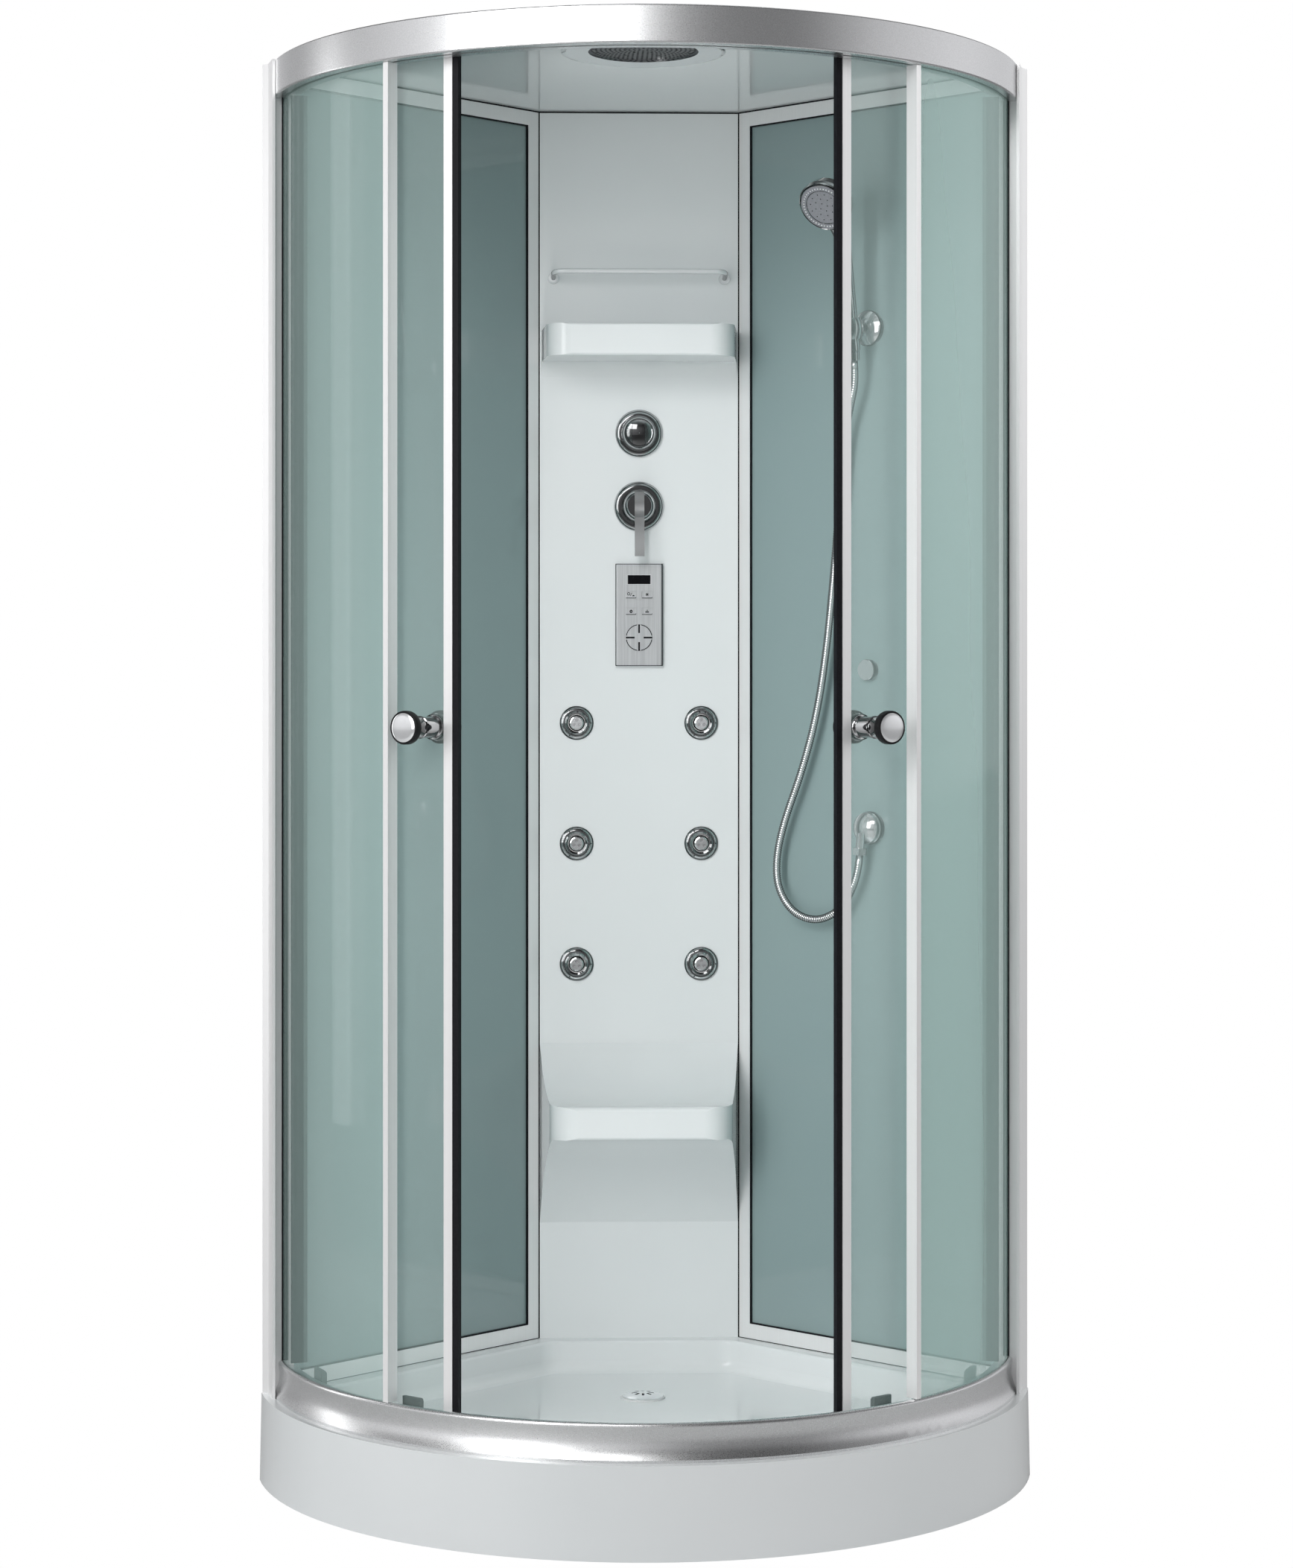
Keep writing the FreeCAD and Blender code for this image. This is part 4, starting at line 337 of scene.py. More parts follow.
def piece(name, shape, look, body, smooth=True):
    """A finished piece that rides on a body. The bmesh it is made from is used up."""
    bmesh.ops.recalc_face_normals(shape, faces=shape.faces)
    mesh = bpy.data.meshes.new(name)
    shape.to_mesh(mesh)
    shape.free()
    made = bpy.data.objects.new(name, mesh)
    bpy.context.scene.collection.objects.link(made)
    made.data.materials.append(look)
    if smooth:
        for polygon in mesh.polygons:
            polygon.use_smooth = True
    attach(made, body)
    return made


def axes(way, up=UP):
    """A rotation whose Z runs along a way, and whose Y leans towards up."""
    z = Vector(way).normalized()
    y = (Vector(up) - z * z.dot(Vector(up))).normalized()
    return Matrix((y.cross(z), y, z)).transposed().to_4x4()


def ring(shape, place, radius, height, steps):
    """Vertices of a circle round the Z of a place."""
    return [shape.verts.new(place @ Vector((radius * math.cos(ROUND * step / steps),
                                            radius * math.sin(ROUND * step / steps), height)))
            for step in range(steps)]


def bridge(shape, low, high):
    """Faces between two loops with as many vertices."""
    for step in range(len(low)):
        after = (step + 1) % len(low)
        shape.faces.new((low[step], low[after], high[after], high[step]))


def block(shape, low, high):
    """A closed form between two loops."""
    shape.faces.new(high)
    shape.faces.new(list(reversed(low)))
    bridge(shape, low, high)


def spin(shape, profile, place, steps):
    """A turned form: (radius, height) pairs round the Z of its place."""
    rings = []
    for radius, height in profile:
        if radius < POINT:
            rings.append([shape.verts.new(place @ Vector((0, 0, height)))])
        else:
            rings.append(ring(shape, place, radius, height, steps))
    for low, high in zip(rings, rings[1:]):
        if len(low) == len(high):
            bridge(shape, low, high)
            continue
        for step in range(steps):
            after = (step + 1) % steps
            if len(low) == 1:
                shape.faces.new((low[0], high[step], high[after]))
            else:
                shape.faces.new((low[step], high[0], low[after]))


def lathe(name, runs, look, body, steps=48):
    """One piece of turned forms, each a profile and its place."""
    shape = bmesh.new()
    for profile, place in runs:
        spin(shape, profile, place, steps)
    made = piece(name, shape, look, body)
    made.data.set_sharp_from_angle(angle=SHARP_ANGLE)
    return made


def dots(name, spots, radius, height, look, body):
    """One piece of low crowned dots, each standing off the XY plane of its place."""
    shape = bmesh.new()
    for place in spots:
        rings = [ring(shape, place, radius * share, height * rise, DOT_STEPS)
                 for share, rise in DOT_CROWN]
        for low, high in zip(rings, rings[1:]):
            bridge(shape, low, high)
        shape.faces.new(rings[-1])
        shape.faces.new(list(reversed(rings[0])))
    piece(name, shape, look, body)


def plates(name, parts, thick, look, body):
    """One piece of thin plates, each an outline standing off the XY plane of its place."""
    shape = bmesh.new()
    for corners, place in parts:
        low = [shape.verts.new(place @ Vector((x, y, 0))) for x, y in corners]
        high = [shape.verts.new(place @ Vector((x, y, thick))) for x, y in corners]
        block(shape, low, high)
    piece(name, shape, look, body, smooth=False)


def bar(x0, x1, y0, y1):
    """The outline of a rectangle."""
    return [(x0, y0), (x1, y0), (x1, y1), (x0, y1)]


def arc_strip(radius, half, start, stop):
    """The outline of a flat ring's sector."""
    turns = [start + (stop - start) * step / ARC_STEPS for step in range(ARC_STEPS + 1)]
    outer = [((radius + half) * math.cos(turn), (radius + half) * math.sin(turn))
             for turn in turns]
    inner = [((radius - half) * math.cos(turn), (radius - half) * math.sin(turn))
             for turn in reversed(turns)]
    return outer + inner


def on_front(degrees, radius, height):
    """A place on the curved front whose Z faces out, so many degrees from the middle."""
    turn = math.radians(degrees)
    way = Vector((math.sin(turn), -math.cos(turn), 0))
    spot = way * radius + Vector((0, AXIS_Y, height))
    return Matrix.Translation(spot) @ axes(way)


def on_column(across, height, ahead=0.0):
    """A place ahead of the column's face whose Z faces the front."""
    return Matrix.Translation((across, FACE_Y - ahead, height)) @ axes((0, -1, 0))


def wall(along, off, height):
    """A point by the right wall: along it from its front end, off it, and up."""
    return WALL_START + ALONG * along + INWARD * off + UP * height


# ---------------------------------------------------------------- camera

def make_camera():
    """The photograph's camera, solved from its rails, posts and column."""
    data = bpy.data.cameras.new("camera")
    data.lens = 75.87
    data.shift_y = -0.0678
    data.clip_end = 60
    made = bpy.data.objects.new("camera", data)
    made.location = (-0.15206, -5.2032, 1.24683)
    made.rotation_euler = (math.pi / 2, 0, -0.0296)
    bpy.context.scene.collection.objects.link(made)
    bpy.context.scene.camera = made


make_camera()


# ---------------------------------------------------------------- fittings on the right wall

# How far along the wall the three fittings are, and how high.
HOLDER_ALONG, HOLDER_HEIGHT = 0.3105, 1.8155
CAP_ALONG, CAP_HEIGHT = 0.3100, 1.2594
OUTLET_ALONG, OUTLET_HEIGHT = 0.3065, 1.0023

# The hand shower: its handle leans off the wall, its head swings aside and its face drops.
LEAN, DROP, SWING = math.radians(8), math.radians(38), math.radians(12)
HANDLE_WAY = INWARD * math.sin(LEAN) + UP * math.cos(LEAN)
HEAD_WAY = Matrix.Rotation(SWING, 3, "Z") @ INWARD
FACE_WAY = HEAD_WAY * math.cos(DROP) - UP * math.sin(DROP)
CROWN_WAY = HEAD_WAY * math.sin(DROP) + UP * math.cos(DROP)
GRIP_OFF, GRIP_HEIGHT = 0.043, 1.8115
GRIP = wall(HOLDER_ALONG, GRIP_OFF, GRIP_HEIGHT)     # where the cradle holds the handle
HANDLE_DOWN = 0.0523               # from the grip down to the handle's nut
HEAD_UP, HEAD_OUT = 0.189, 0.056   # from the grip up to the head, and out to its face


# ---------------------------------------------------------------- hose

SPOUT_LEAN = math.radians(5)
SPOUT_WAY = ALONG * math.sin(SPOUT_LEAN) - UP * math.cos(SPOUT_LEAN)
SPOUT_OFF, SPOUT_REACH = 0.022, 0.043
MOUTH = wall(OUTLET_ALONG, SPOUT_OFF, OUTLET_HEIGHT) + SPOUT_WAY * SPOUT_REACH
MOUTH_GAP = 0.0003
HOSE_TOP = GRIP - HANDLE_WAY * HANDLE_DOWN
HOSE_FOOT = MOUTH + SPOUT_WAY * MOUTH_GAP
HOSE_STRAIGHT = 0.03         # how far each end runs on straight
HOSE_STEPS = 14              # vertices round the hose
END_REACH, END_RADIUS = 0.013, 0.0060        # the plain sleeve at each end
RIDGE_PITCH = 0.0039
RIDGE = ((0.05, 0.0052), (0.25, 0.0062), (0.5, 0.0065), (0.75, 0.0062))  # share and radius
# Between its ends: along the wall, off it, and up.
ROUTE = (
    (0.324, 0.0275, 1.692), (0.339, 0.023, 1.650), (0.348, 0.0215, 1.590),
    (0.3565, 0.0205, 1.510), (0.3665, 0.020, 1.416), (0.3815, 0.0205, 1.292),
    (0.402, 0.021, 1.186), (0.434, 0.0215, 1.092), (0.472, 0.022, 1.010),
    (0.490, 0.022, 0.948), (0.487, 0.022, 0.898), (0.455, 0.022, 0.859),
    (0.407, 0.022, 0.8465), (0.364, 0.022, 0.860), (0.337, 0.022, 0.883),
)


def hose_path():
    """Points along the smooth line of the hose."""
    spots = ([HOSE_TOP, HOSE_TOP - HANDLE_WAY * HOSE_STRAIGHT] + [wall(*one) for one in ROUTE]
             + [HOSE_FOOT + SPOUT_WAY * HOSE_STRAIGHT, HOSE_FOOT])
    data = bpy.data.curves.new("hose_line", "CURVE")
    data.dimensions = "3D"
    data.resolution_u = 24
    line = data.splines.new("NURBS")
    line.points.add(len(spots) - 1)
    for point, spot in zip(line.points, spots):
        point.co = (*spot, 1)
    line.order_u = 3
    line.use_endpoint_u = True
    carrier = bpy.data.objects.new("hose_line", data)
    bpy.context.scene.collection.objects.link(carrier)
    bpy.context.view_layer.update()
    graph = bpy.context.evaluated_depsgraph_get()
    drawn = bpy.data.meshes.new_from_object(carrier.evaluated_get(graph))
    path = [vertex.co.copy() for vertex in drawn.vertices]
    bpy.data.meshes.remove(drawn)
    bpy.data.objects.remove(carrier)
    return path


def hose_stops(total):
    """Where along the hose its rings stand, and their radii: a sleeve, ridges, a sleeve."""
    count = int((total - 2 * END_REACH) / RIDGE_PITCH)
    pitch = (total - 2 * END_REACH) / count
    stops = [(0.0, END_RADIUS), (END_REACH, END_RADIUS)]
    for ridge in range(count):
        for share, radius in RIDGE:
            stops.append((END_REACH + (ridge + share) * pitch, radius))
    return stops + [(total - END_REACH, END_RADIUS), (total, END_RADIUS)]


def make_hose():
    """Wound metal hose: close ridges along the smooth line of its route."""
    path = hose_path()
    reaches = [0.0]
    for here, after in zip(path, path[1:]):
        reaches.append(reaches[-1] + (after - here).length)
    total = reaches[-1]
    shape = bmesh.new()
    rings, number, side = [], 0, INWARD
    for reach, radius in hose_stops(total):
        while number < len(path) - 2 and reaches[number + 1] < reach:
            number += 1
        share = (reach - reaches[number]) / (reaches[number + 1] - reaches[number])
        spot = path[number].lerp(path[number + 1], share)
        before = path[max(0, number - 1)]
        after = path[min(len(path) - 1, number + 2)]
        way = (after - before).normalized()
        side = (side - way * side.dot(way)).normalized()
        across = way.cross(side)
        rings.append([shape.verts.new(spot + (side * math.cos(ROUND * step / HOSE_STEPS)
                                              + across * math.sin(ROUND * step / HOSE_STEPS))
                                      * radius) for step in range(HOSE_STEPS)])
    for low, high in zip(rings, rings[1:]):
        bridge(shape, low, high)
    shape.faces.new(rings[0])
    shape.faces.new(rings[-1])
    made = piece("hose", shape, HOSE, "cabin")
    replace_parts(made, "shower_hose")
    print("hose length %.3f" % total)


make_hose()


# ---------------------------------------------------------------- hand shower's face

# Circles of holes and of bumps: radius, count, turn of the first, and height off the face.
SPRAY_HOLES = ((0.007, 4, 0.3, 0.0006), (0.0155, 8, 0.1, 0.0006), (0.0235, 12, 0.2, 0.0006))
SPRAY_BUMPS = (0.0345, 44, 0, 0.0016)


def round_about(place, radius, count, turn, height):
    """Places on a circle round the Z of a place."""
    angles = [turn + ROUND * step / count for step in range(count)]
    return [place @ Matrix.Translation((radius * math.cos(angle), radius * math.sin(angle),
                                        height)) for angle in angles]


def make_spray():
    """White bumps, dark holes, a fine ring and a rim on the spray face."""
    face = GRIP + HANDLE_WAY * HEAD_UP + HEAD_WAY * HEAD_OUT
    place = Matrix.Translation(face) @ axes(FACE_WAY, CROWN_WAY)
    dots("spray_bumps", round_about(place, *SPRAY_BUMPS), 0.0013, 0.0012,
         NOZZLE, "spray")
    lathe("spray_ring", [([(0.0296, 0.0008), (0.0296, 0.0014), (0.0300, 0.0019),
                           (0.0305, 0.0019), (0.0309, 0.0012), (0.0309, 0.0008)], place)],
          CHROME, "spray")
    holes = []
    for circle in SPRAY_HOLES:
        holes += round_about(place, *circle)
    dots("spray_holes", holes, 0.0011, 0.0005, BLACK, "spray")
    lathe("spray_rim", [([(0.0400, 0.0016), (0.0405, 0.0020), (0.0400, 0.0004)], place)],
          CHROME, "spray")


make_spray()


# ---------------------------------------------------------------- painted dark edges of the wall discs

# Along the wall, up, the disc's radius, and how far its front is off the wall.
DISCS = ((HOLDER_ALONG, HOLDER_HEIGHT, 0.029, 0.0040),
         (CAP_ALONG, CAP_HEIGHT, 0.017, 0.0072),
         (OUTLET_ALONG, OUTLET_HEIGHT, 0.027, 0.0050))
EDGE_IN, EDGE_OUT = 0.0006, 0.0001           # from the disc's radius
EDGE_DROP, EDGE_FOOT = 0.0010, 0.0004        # back from the front, and off the wall


def make_disc_edges():
    """Thin dark rims round the holder's disc, the cap and the outlet's disc, turned down towards
    the wall: painted shade and dark reflection on the discs' sides.
    """
    runs = []
    for along, height, radius, front in DISCS:
        place = Matrix.Translation(wall(along, 0, height)) @ axes(INWARD)
        runs.append(([(radius - EDGE_IN, front), (radius + EDGE_OUT, front - EDGE_DROP),
                      (radius + EDGE_OUT, EDGE_FOOT)], place))
    lathe("disc_edges", runs, PAINTED_SHADE_RIM, "cabin")


make_disc_edges()


# ---------------------------------------------------------------- overhead shower

RAIN_CENTRE = Vector((-0.008, AXIS_Y - 0.236, 2.2026))
RAIN_RINGS, RAIN_PITCH = 11, 0.0072
RAIN_SHARE = 6               # holes that each ring has more than the one inside it


def make_rain():
    """Rows of spray holes under the overhead shower's plate, and the lip round it."""
    down = Matrix.Diagonal((1, -1, -1, 1))
    spots = []
    for number in range(1, RAIN_RINGS + 1):
        radius = RAIN_PITCH * number
        count = RAIN_SHARE * number
        for step in range(count):
            angle = ROUND * (step + 0.5 * (number % 2)) / count
            spots.append(Matrix.Translation(RAIN_CENTRE + Vector((
                radius * math.cos(angle), radius * math.sin(angle), 0))) @ down)
    dots("rain_holes", spots, 0.0019, 0.0004, BLACK, "cabin")
    place = Matrix.Translation(RAIN_CENTRE) @ down
    lathe("rain_lip", [([(0.0862, -0.0018), (0.0868, 0.0022), (0.0885, 0.0030),
                         (0.0900, 0.0022)], place)], BRIGHT, "cabin", 72)


make_rain()


# ---------------------------------------------------------------- door knobs

DOORS = (("left", -1, 30.6), ("right", 1, 28.5))   # side of the middle, degrees open at rest
KNOB_DEGREES = 4.6           # from the door's leading edge to its knob
KNOB_HEIGHT = 1.175
DOME_RISE = 0.0034
BOLT_START = 0.5486          # the radius inside the glass where the knobs' bolt begins
# How far a knob reaches, the radius it stands at, its ring's thickness, and if it is inside.
KNOBS = ((0.074, 0.5543, 0.0152, False), (0.033, 0.5484, 0.027, True))


def knob_neck(reach, low):
    """The chromed part of a knob: rose, waisted neck with a collar, and its head's back."""
    half = (low + 0.0065) / 2
    return [(0.0, 0.0), (0.019, 0.0), (0.019, 0.0026), (0.0182, 0.0040), (0.0165, 0.0052),
            (0.0156, 0.0062), (0.0152, half - 0.0022), (0.0166, half - 0.0016),
            (0.0166, half + 0.0016), (0.0152, half + 0.0022), (0.0154, low - 0.0042),
            (0.0172, low - 0.0018), (0.0205, low - 0.0004), (0.0205, reach - 0.004)]


def knob_ring(low, high):
    """The rubber ring round a knob's head."""
    return [(0.0150, low), (0.0226, low), (0.0238, low + 0.0008), (0.0243, low + 0.0022),
            (0.0243, high - 0.0008), (0.0239, high + 0.0006), (0.0228, high + 0.0012),
            (0.0212, high + 0.0008), (0.0205, high - 0.001)]


def knob_dome(high):
    """The chromed dome on a knob's head."""
    return [(0.0200, high - 0.001), (0.0212, high + 0.0002), (0.0210, high + 0.0012),
            (0.0192, high + 0.0021), (0.0155, high + 0.0027), (0.0105, high + 0.0031),
            (0.0052, high + 0.0033), (0.0, high + DOME_RISE)]


def make_knobs():
    """Chromed knobs with a thick rubber ring, inside and outside each door."""
    for name, side, rest in DOORS:
        angle = side * (rest + KNOB_DEGREES)
        necks, rings, domes = [], [], []
        for reach, start, thick, inside in KNOBS:
            place = on_front(angle, start, KNOB_HEIGHT)
            if inside:
                place = place @ Matrix.Rotation(math.pi, 4, "Y")
            low = reach - thick
            high = reach - DOME_RISE
            necks.append((knob_neck(reach, low), place))
            rings.append((knob_ring(low, high), place))
            domes.append((knob_dome(high), place))
        bolt = on_front(angle, BOLT_START, KNOB_HEIGHT)
        necks.append(([(0.0, 0.0), (0.005, 0.0), (0.005, 0.0055), (0.0, 0.0055)], bolt))
        body = name + "_door"
        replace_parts(lathe("knob_neck_" + name, necks, CHROME, body),
                    "door_knobs_" + name)
        lathe("knob_ring_" + name, rings, RUBBER, body)
        lathe("knob_dome_" + name, domes, DOME, body)


make_knobs()


# ---------------------------------------------------------------- control panel

INK = 0.00012                # how thick the printed marks stand
KEYS = (("power", -0.0135, 1.3858), ("light", 0.0135, 1.3858),
        ("shower", -0.0135, 1.3582), ("steam", 0.0135, 1.3582))
# How far the keys, the pad and the plate stand ahead of the column.
KEY_TOP, PAD_TOP, PLATE_TOP = 0.0093, 0.00942, 0.0090
PAD_HEIGHT, PLATE_HEIGHT = 1.3143, 1.3526
NEARLY_ROUND = ROUND * 0.98
PAD_GAP = 0.16               # radians left open at each end of the pad's arcs
# Bars from the middle of the plate: left, right, low, high.
DISPLAY_RIM = ((-0.0205, 0.0205, 0.0508, 0.0512), (-0.0205, 0.0205, 0.0672, 0.0676),
               (-0.0205, -0.0201, 0.0508, 0.0676), (0.0201, 0.0205, 0.0508, 0.0676))
# Dark lines round the plate, painted shade of its edge and the gap behind it, widest on the
# right.
PANEL_SHADE_LINES = ((-0.0398, 0.0398, 0.0848, 0.0858), (-0.0398, 0.0398, -0.0859, -0.0848),
                (-0.0398, -0.0388, -0.0850, 0.0850), (0.0380, 0.0398, -0.0850, 0.0850))


def key_marks(key, x, z):
    """The line, its tick and the small icon of a key: outlines and their places."""
    def at(across, up):
        """A place on the key."""
        return on_column(x + across, z + up, KEY_TOP)

    def turned(turn):
        """The middle of the icon, turned."""
        return at(0, 0.001) @ Matrix.Rotation(turn, 4, "Z")

    marks = [(bar(-0.0085, 0.0085, -0.0054, -0.0044), at(0, 0)),
             (bar(0.0079, 0.0085, -0.0044, -0.0030), at(0, 0))]
    if key == "power":
        marks += [(arc_strip(0.0021, 0.0005, 0, NEARLY_ROUND), at(-0.004, 0.002)),
                  (bar(-0.0004, 0.0004, -0.003, 0.003), turned(-0.5)),
                  (arc_strip(0.0010, 0.0010, 0, math.pi), at(0.004, -0.002))]
    elif key == "light":
        marks += [(bar(-0.0028, 0.0028, -0.0004, 0.0004), turned(math.pi * step / 4))
                  for step in range(4)]
    elif key == "shower":
        marks += [(arc_strip(0.0017, 0.0009, 0, NEARLY_ROUND), at(0, 0)),
                  (bar(-0.0004, 0.0004, 0.0018, 0.0036), at(0, 0))]
    else:
        marks += [(bar(-0.003, 0.003, -0.0018, 0.0), at(0, 0)),
                  (bar(-0.0004, 0.0004, 0.0006, 0.003), at(-0.001, 0)),
                  (bar(-0.0004, 0.0004, 0.0006, 0.003), at(0.001, 0))]
    return marks


def pad_marks():
    """Four arcs and a cross on the round pad: outlines and their places."""
    spot = on_column(0, PAD_HEIGHT, PAD_TOP)
    quarter = math.pi / 2
    marks = []
    for step in range(4):
        marks.append((arc_strip(0.0215, 0.0006, quarter * step + PAD_GAP,
                                quarter * (step + 1) - PAD_GAP), spot))
        marks.append((bar(0.0076, 0.0222, -0.0014, 0.0014),
                      spot @ Matrix.Rotation(quarter * step, 4, "Z")))
    return marks


def make_panel_print():
    """Generic marks on the control panel, the window's rim, and dark lines round the plate that
    are painted shade of its edge, widest on the right.
    """
    for key, x, z in KEYS:
        plates("print_" + key, key_marks(key, x, z), INK, PRINT_AND_SHADE, key + "_key")
    plates("print_pad", pad_marks(), INK, PRINT_AND_SHADE, "pad")
    middle = on_column(0, PLATE_HEIGHT, PLATE_TOP)
    plates("display_rim", [(bar(*one), middle) for one in DISPLAY_RIM], INK,
           NOZZLE, "cabin")
    plates("panel_shade_lines", [(bar(*one), middle) for one in PANEL_SHADE_LINES], INK,
           PRINT_AND_SHADE, "cabin")


make_panel_print()


# ---------------------------------------------------------------- gaskets and sealant

STRIP_WIDE = 0.0022
STRIP_BACK, STRIP_FRONT = -0.0042, -0.0008   # off the wall frame's face
FRAME_WIDE = 0.026                           # the wall frame's profile
GLASS_LOW, GLASS_HIGH = 0.161, 2.174
TRAY_TOP, ROOF_UNDER = 0.1362, 2.1974
TRAY_LINE, ROOF_LINE, COLUMN_LINE = 0.0010, 0.0024, 0.0026   # widths of the sealant
SEALANT = 0.0004                                             # and how far it stands out


def make_wall_gaskets():
    """Black glazing strips where the wall glass meets its frame."""
    start, stop = FRAME_WIDE, WALL_LENGTH - FRAME_WIDE
    runs = (((start, GLASS_LOW), (start + STRIP_WIDE, GLASS_HIGH)),
            ((stop - STRIP_WIDE, GLASS_LOW), (stop, GLASS_HIGH)),
            ((start + STRIP_WIDE, GLASS_LOW), (stop - STRIP_WIDE, GLASS_LOW + STRIP_WIDE)),
            ((start + STRIP_WIDE, GLASS_HIGH - STRIP_WIDE), (stop - STRIP_WIDE, GLASS_HIGH)))
    for name, side in (("left", -1), ("right", 1)):
        shape = bmesh.new()
        for (s0, z0), (s1, z1) in runs:
            loops = []
            for off in (STRIP_BACK, STRIP_FRONT):
                spots = [wall(s, off, z) for s, z in ((s0, z0), (s1, z0), (s1, z1), (s0, z1))]
                loops.append([shape.verts.new((side * spot.x, spot.y, spot.z))
                              for spot in spots])
            block(shape, *loops)
        piece("glazing_strip_" + name, shape, BLACK, "cabin", smooth=False)


make_wall_gaskets()


def make_joint_lines():
    """Dark sealant where column, wall frames, roof and tray meet."""
    place = Matrix.Translation(wall(WALL_LENGTH, 0, 0)) @ axes(INWARD)
    mirror = Matrix.Diagonal((-1, 1, 1, 1))
    half = WALL_BACK[0]
    parts = []
    for corners in (bar(0, COLUMN_LINE, TRAY_TOP, ROOF_UNDER),
                    bar(0, WALL_LENGTH, ROOF_UNDER, ROOF_UNDER + ROOF_LINE),
                    bar(0, WALL_LENGTH, TRAY_TOP - TRAY_LINE, TRAY_TOP)):
        parts += [(corners, place), (corners, mirror @ place)]
    parts.append((bar(-half, half, ROOF_UNDER, ROOF_UNDER + ROOF_LINE), on_column(0, 0)))
    plates("joint_lines", parts, SEALANT, BLACK, "cabin")


make_joint_lines()


# ---------------------------------------------------------------- stage and light

WORLD_LIGHT = 0.88
# How bright the studio is round about, from behind over the left, the front and the right.
WORLD_TONES = ((0.0, 0.9), (0.07, 0.75), (0.13, 0.35), (0.2, 0.42), (0.29, 0.85), (0.4, 0.7),
               (0.48, 0.72), (0.54, 0.22), (0.63, 0.22), (0.7, 0.7), (0.8, 0.88), (0.87, 0.7),
               (0.93, 0.75), (1.0, 0.9))
# And from the floor to overhead.
WORLD_BANDS = ((0.0, 0.6), (0.5, 0.9), (0.57, 1.15), (0.64, 1.1), (0.7, 0.4), (0.85, 0.3),
               (1.0, 0.7))
# Name, place, aim, width, height, watts, and whether glass and metal mirror it.
LAMPS = (("key", (-2.8, -3.4, 2.3), (0.1, 0.1, 1.2), 1.6, 2.6, 68, True),
         ("fill", (4.0, -1.4, 2.1), (0.2, 0.1, 1.5), 0.4, 2.0, 12, False),
         ("high", (-1.3, -3.7, 3.4), (0, 0.1, 0.7), 1.8, 1.2, 42, True),
         ("side_left", (-3.0, 0.6, 1.4), (0, 0, 1.1), 0.5, 2.4, 9, True),
         ("side_right", (3.2, -0.6, 2.5), (0.35, -0.15, 1.9), 1.4, 1.6, 38, False),
         ("inside", (-0.16, -0.36, 1.08), (0.25, 0.25, 1.0), 0.06, 1.9, 3.7, False))
WHITE_LIGHT = (1, 1, 1, 1)


def shown_and_lit(tree, shown, lit, out):
    """One look for the camera and another for the light that the thing gives."""
    path = tree.nodes.new("ShaderNodeLightPath")
    mix = tree.nodes.new("ShaderNodeMixShader")
    tree.links.new(path.outputs["Is Camera Ray"], mix.inputs["Fac"])
    tree.links.new(lit, mix.inputs[1])
    tree.links.new(shown, mix.inputs[2])
    tree.links.new(mix.outputs["Shader"], out.inputs["Surface"])


def tone_ramp(tree, reading, half, tones):
    """Tones along a reading that runs from minus to plus half."""
    share = map_range(tree, reading, -half, half, 0.0, 1.0)
    stops = [(spot, (tone, tone, tone * 1.01)) for spot, tone in tones]
    return color_ramp(tree, share.outputs["Result"], stops)


def make_floor():
    """A pale floor that the camera sees as white."""
    bpy.ops.mesh.primitive_plane_add(size=60, location=(0, 0, -0.0005))
    floor = bpy.context.object
    floor.name = "floor"
    made, tree, main = shader("pale_floor", (0.62, 0.62, 0.62), 0.6)
    pale = tree.nodes.new("ShaderNodeEmission")
    pale.inputs["Color"].default_value = WHITE_LIGHT
    shown_and_lit(tree, pale.outputs["Emission"], main.outputs["BSDF"],
                  tree.nodes["Material Output"])
    floor.data.materials.append(made)


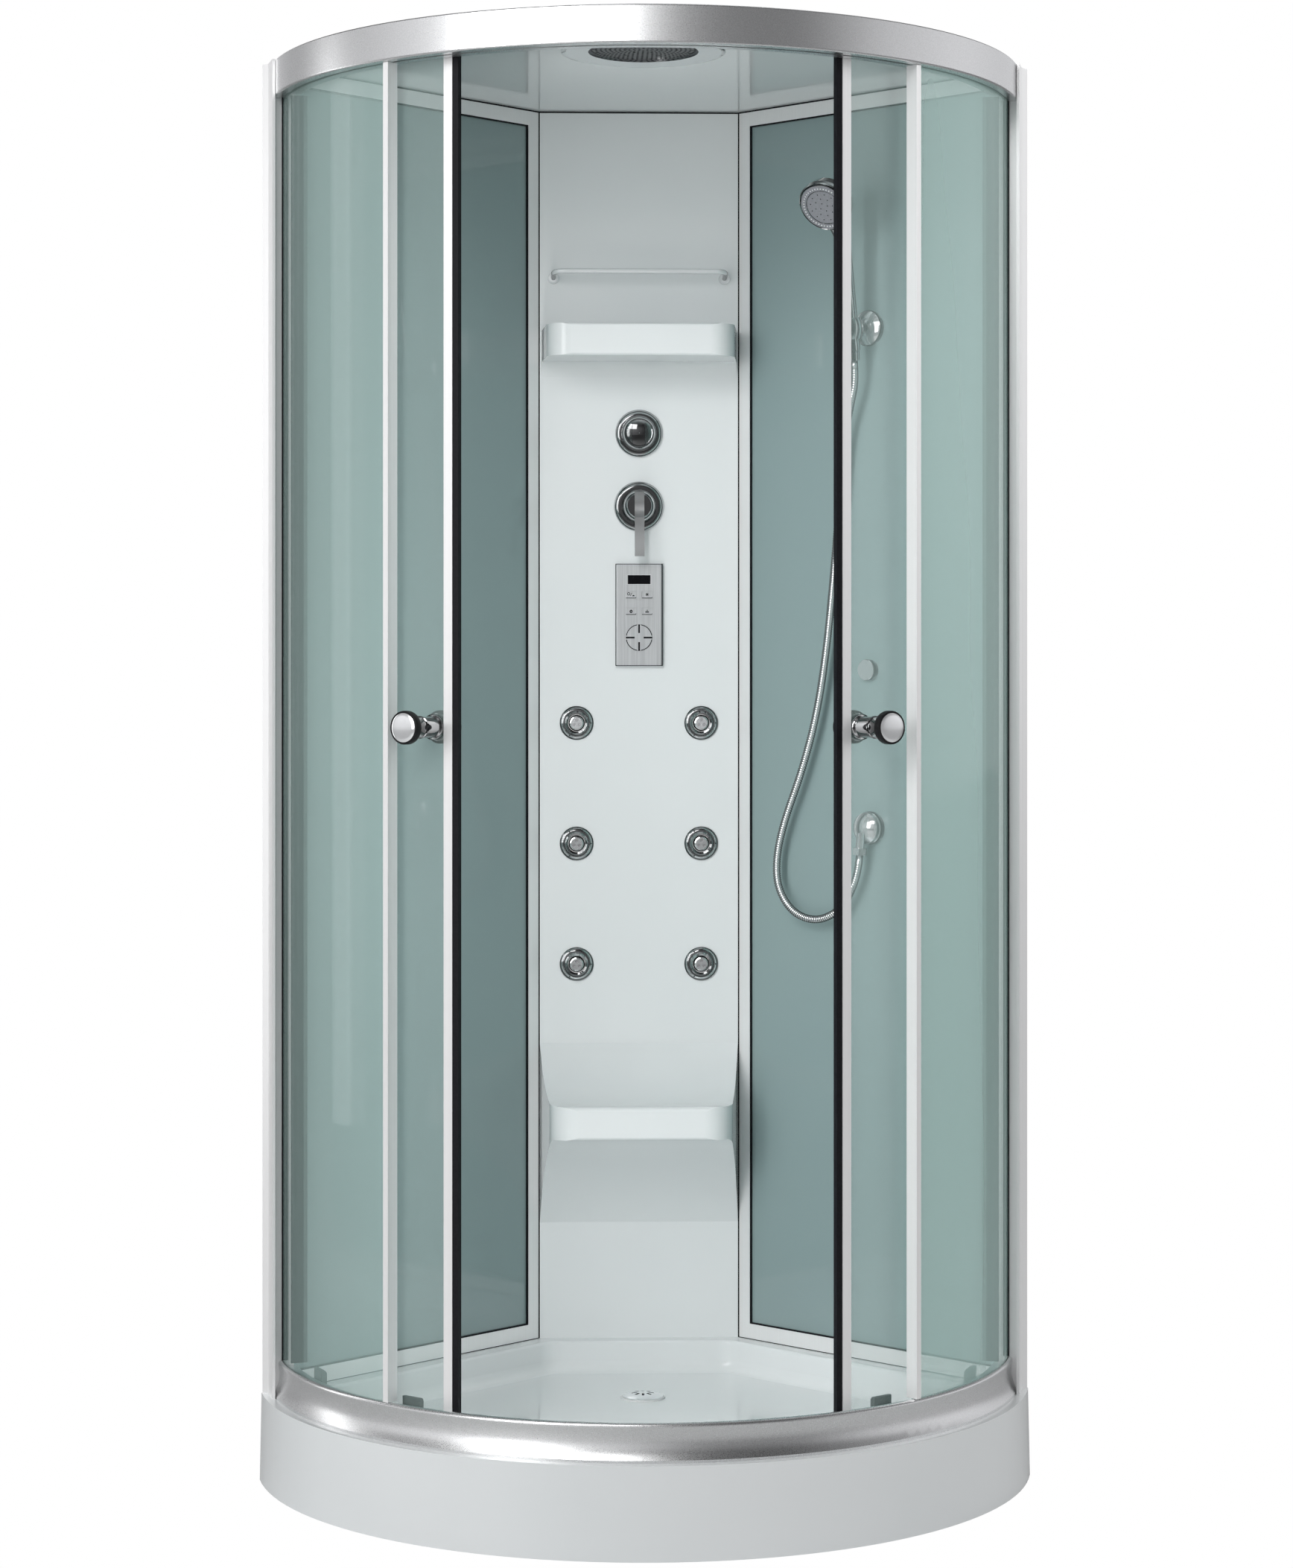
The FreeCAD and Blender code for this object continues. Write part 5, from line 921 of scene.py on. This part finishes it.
def make_world():
    """A studio with light and dark sides, which the camera sees as white."""
    world = bpy.data.worlds.new("studio")
    bpy.context.scene.world = world
    world.use_nodes = True
    tree = world.node_tree
    tree.nodes.clear()
    out = tree.nodes.new("ShaderNodeOutputWorld")
    seen = tree.nodes.new("ShaderNodeBackground")
    seen.inputs["Color"].default_value = WHITE_LIGHT
    lit = tree.nodes.new("ShaderNodeBackground")
    lit.inputs["Strength"].default_value = WORLD_LIGHT
    where = tree.nodes.new("ShaderNodeTexCoord")
    split = tree.nodes.new("ShaderNodeSeparateXYZ")
    back = tree.nodes.new("ShaderNodeMath")
    back.operation = "MULTIPLY"
    back.inputs[1].default_value = -1
    turn = tree.nodes.new("ShaderNodeMath")
    turn.operation = "ARCTAN2"
    tree.links.new(where.outputs["Generated"], split.inputs["Vector"])
    tree.links.new(split.outputs["Y"], back.inputs[0])
    tree.links.new(split.outputs["X"], turn.inputs[0])
    tree.links.new(back.outputs["Value"], turn.inputs[1])
    both = tree.nodes.new("ShaderNodeMix")
    both.data_type = "RGBA"
    both.blend_type = "MULTIPLY"
    both.inputs["Factor"].default_value = 1.0
    # The node's colour sockets are inputs 6 and 7, and output 2.
    tree.links.new(tone_ramp(tree, turn.outputs["Value"], math.pi, WORLD_TONES), both.inputs[6])
    tree.links.new(tone_ramp(tree, split.outputs["Z"], 1.0, WORLD_BANDS), both.inputs[7])
    tree.links.new(both.outputs[2], lit.inputs["Color"])
    shown_and_lit(tree, seen.outputs["Background"], lit.outputs["Background"], out)


def make_light(name, spot, aim, wide, tall, power, mirrored):
    """A soft rectangular lamp that the camera doesn't see."""
    data = bpy.data.lights.new(name, "AREA")
    data.energy = power
    data.size = wide
    data.shape = "RECTANGLE"
    data.size_y = tall
    made = bpy.data.objects.new(name, data)
    made.location = spot
    made.rotation_euler = (Vector(aim) - Vector(spot)).to_track_quat("-Z", "Y").to_euler()
    made.visible_camera = False
    made.visible_glossy = mirrored
    bpy.context.scene.collection.objects.link(made)


make_floor()
make_world()
for lamp in LAMPS:
    make_light(*lamp)

bpy.context.scene.view_settings.view_transform = "Standard"
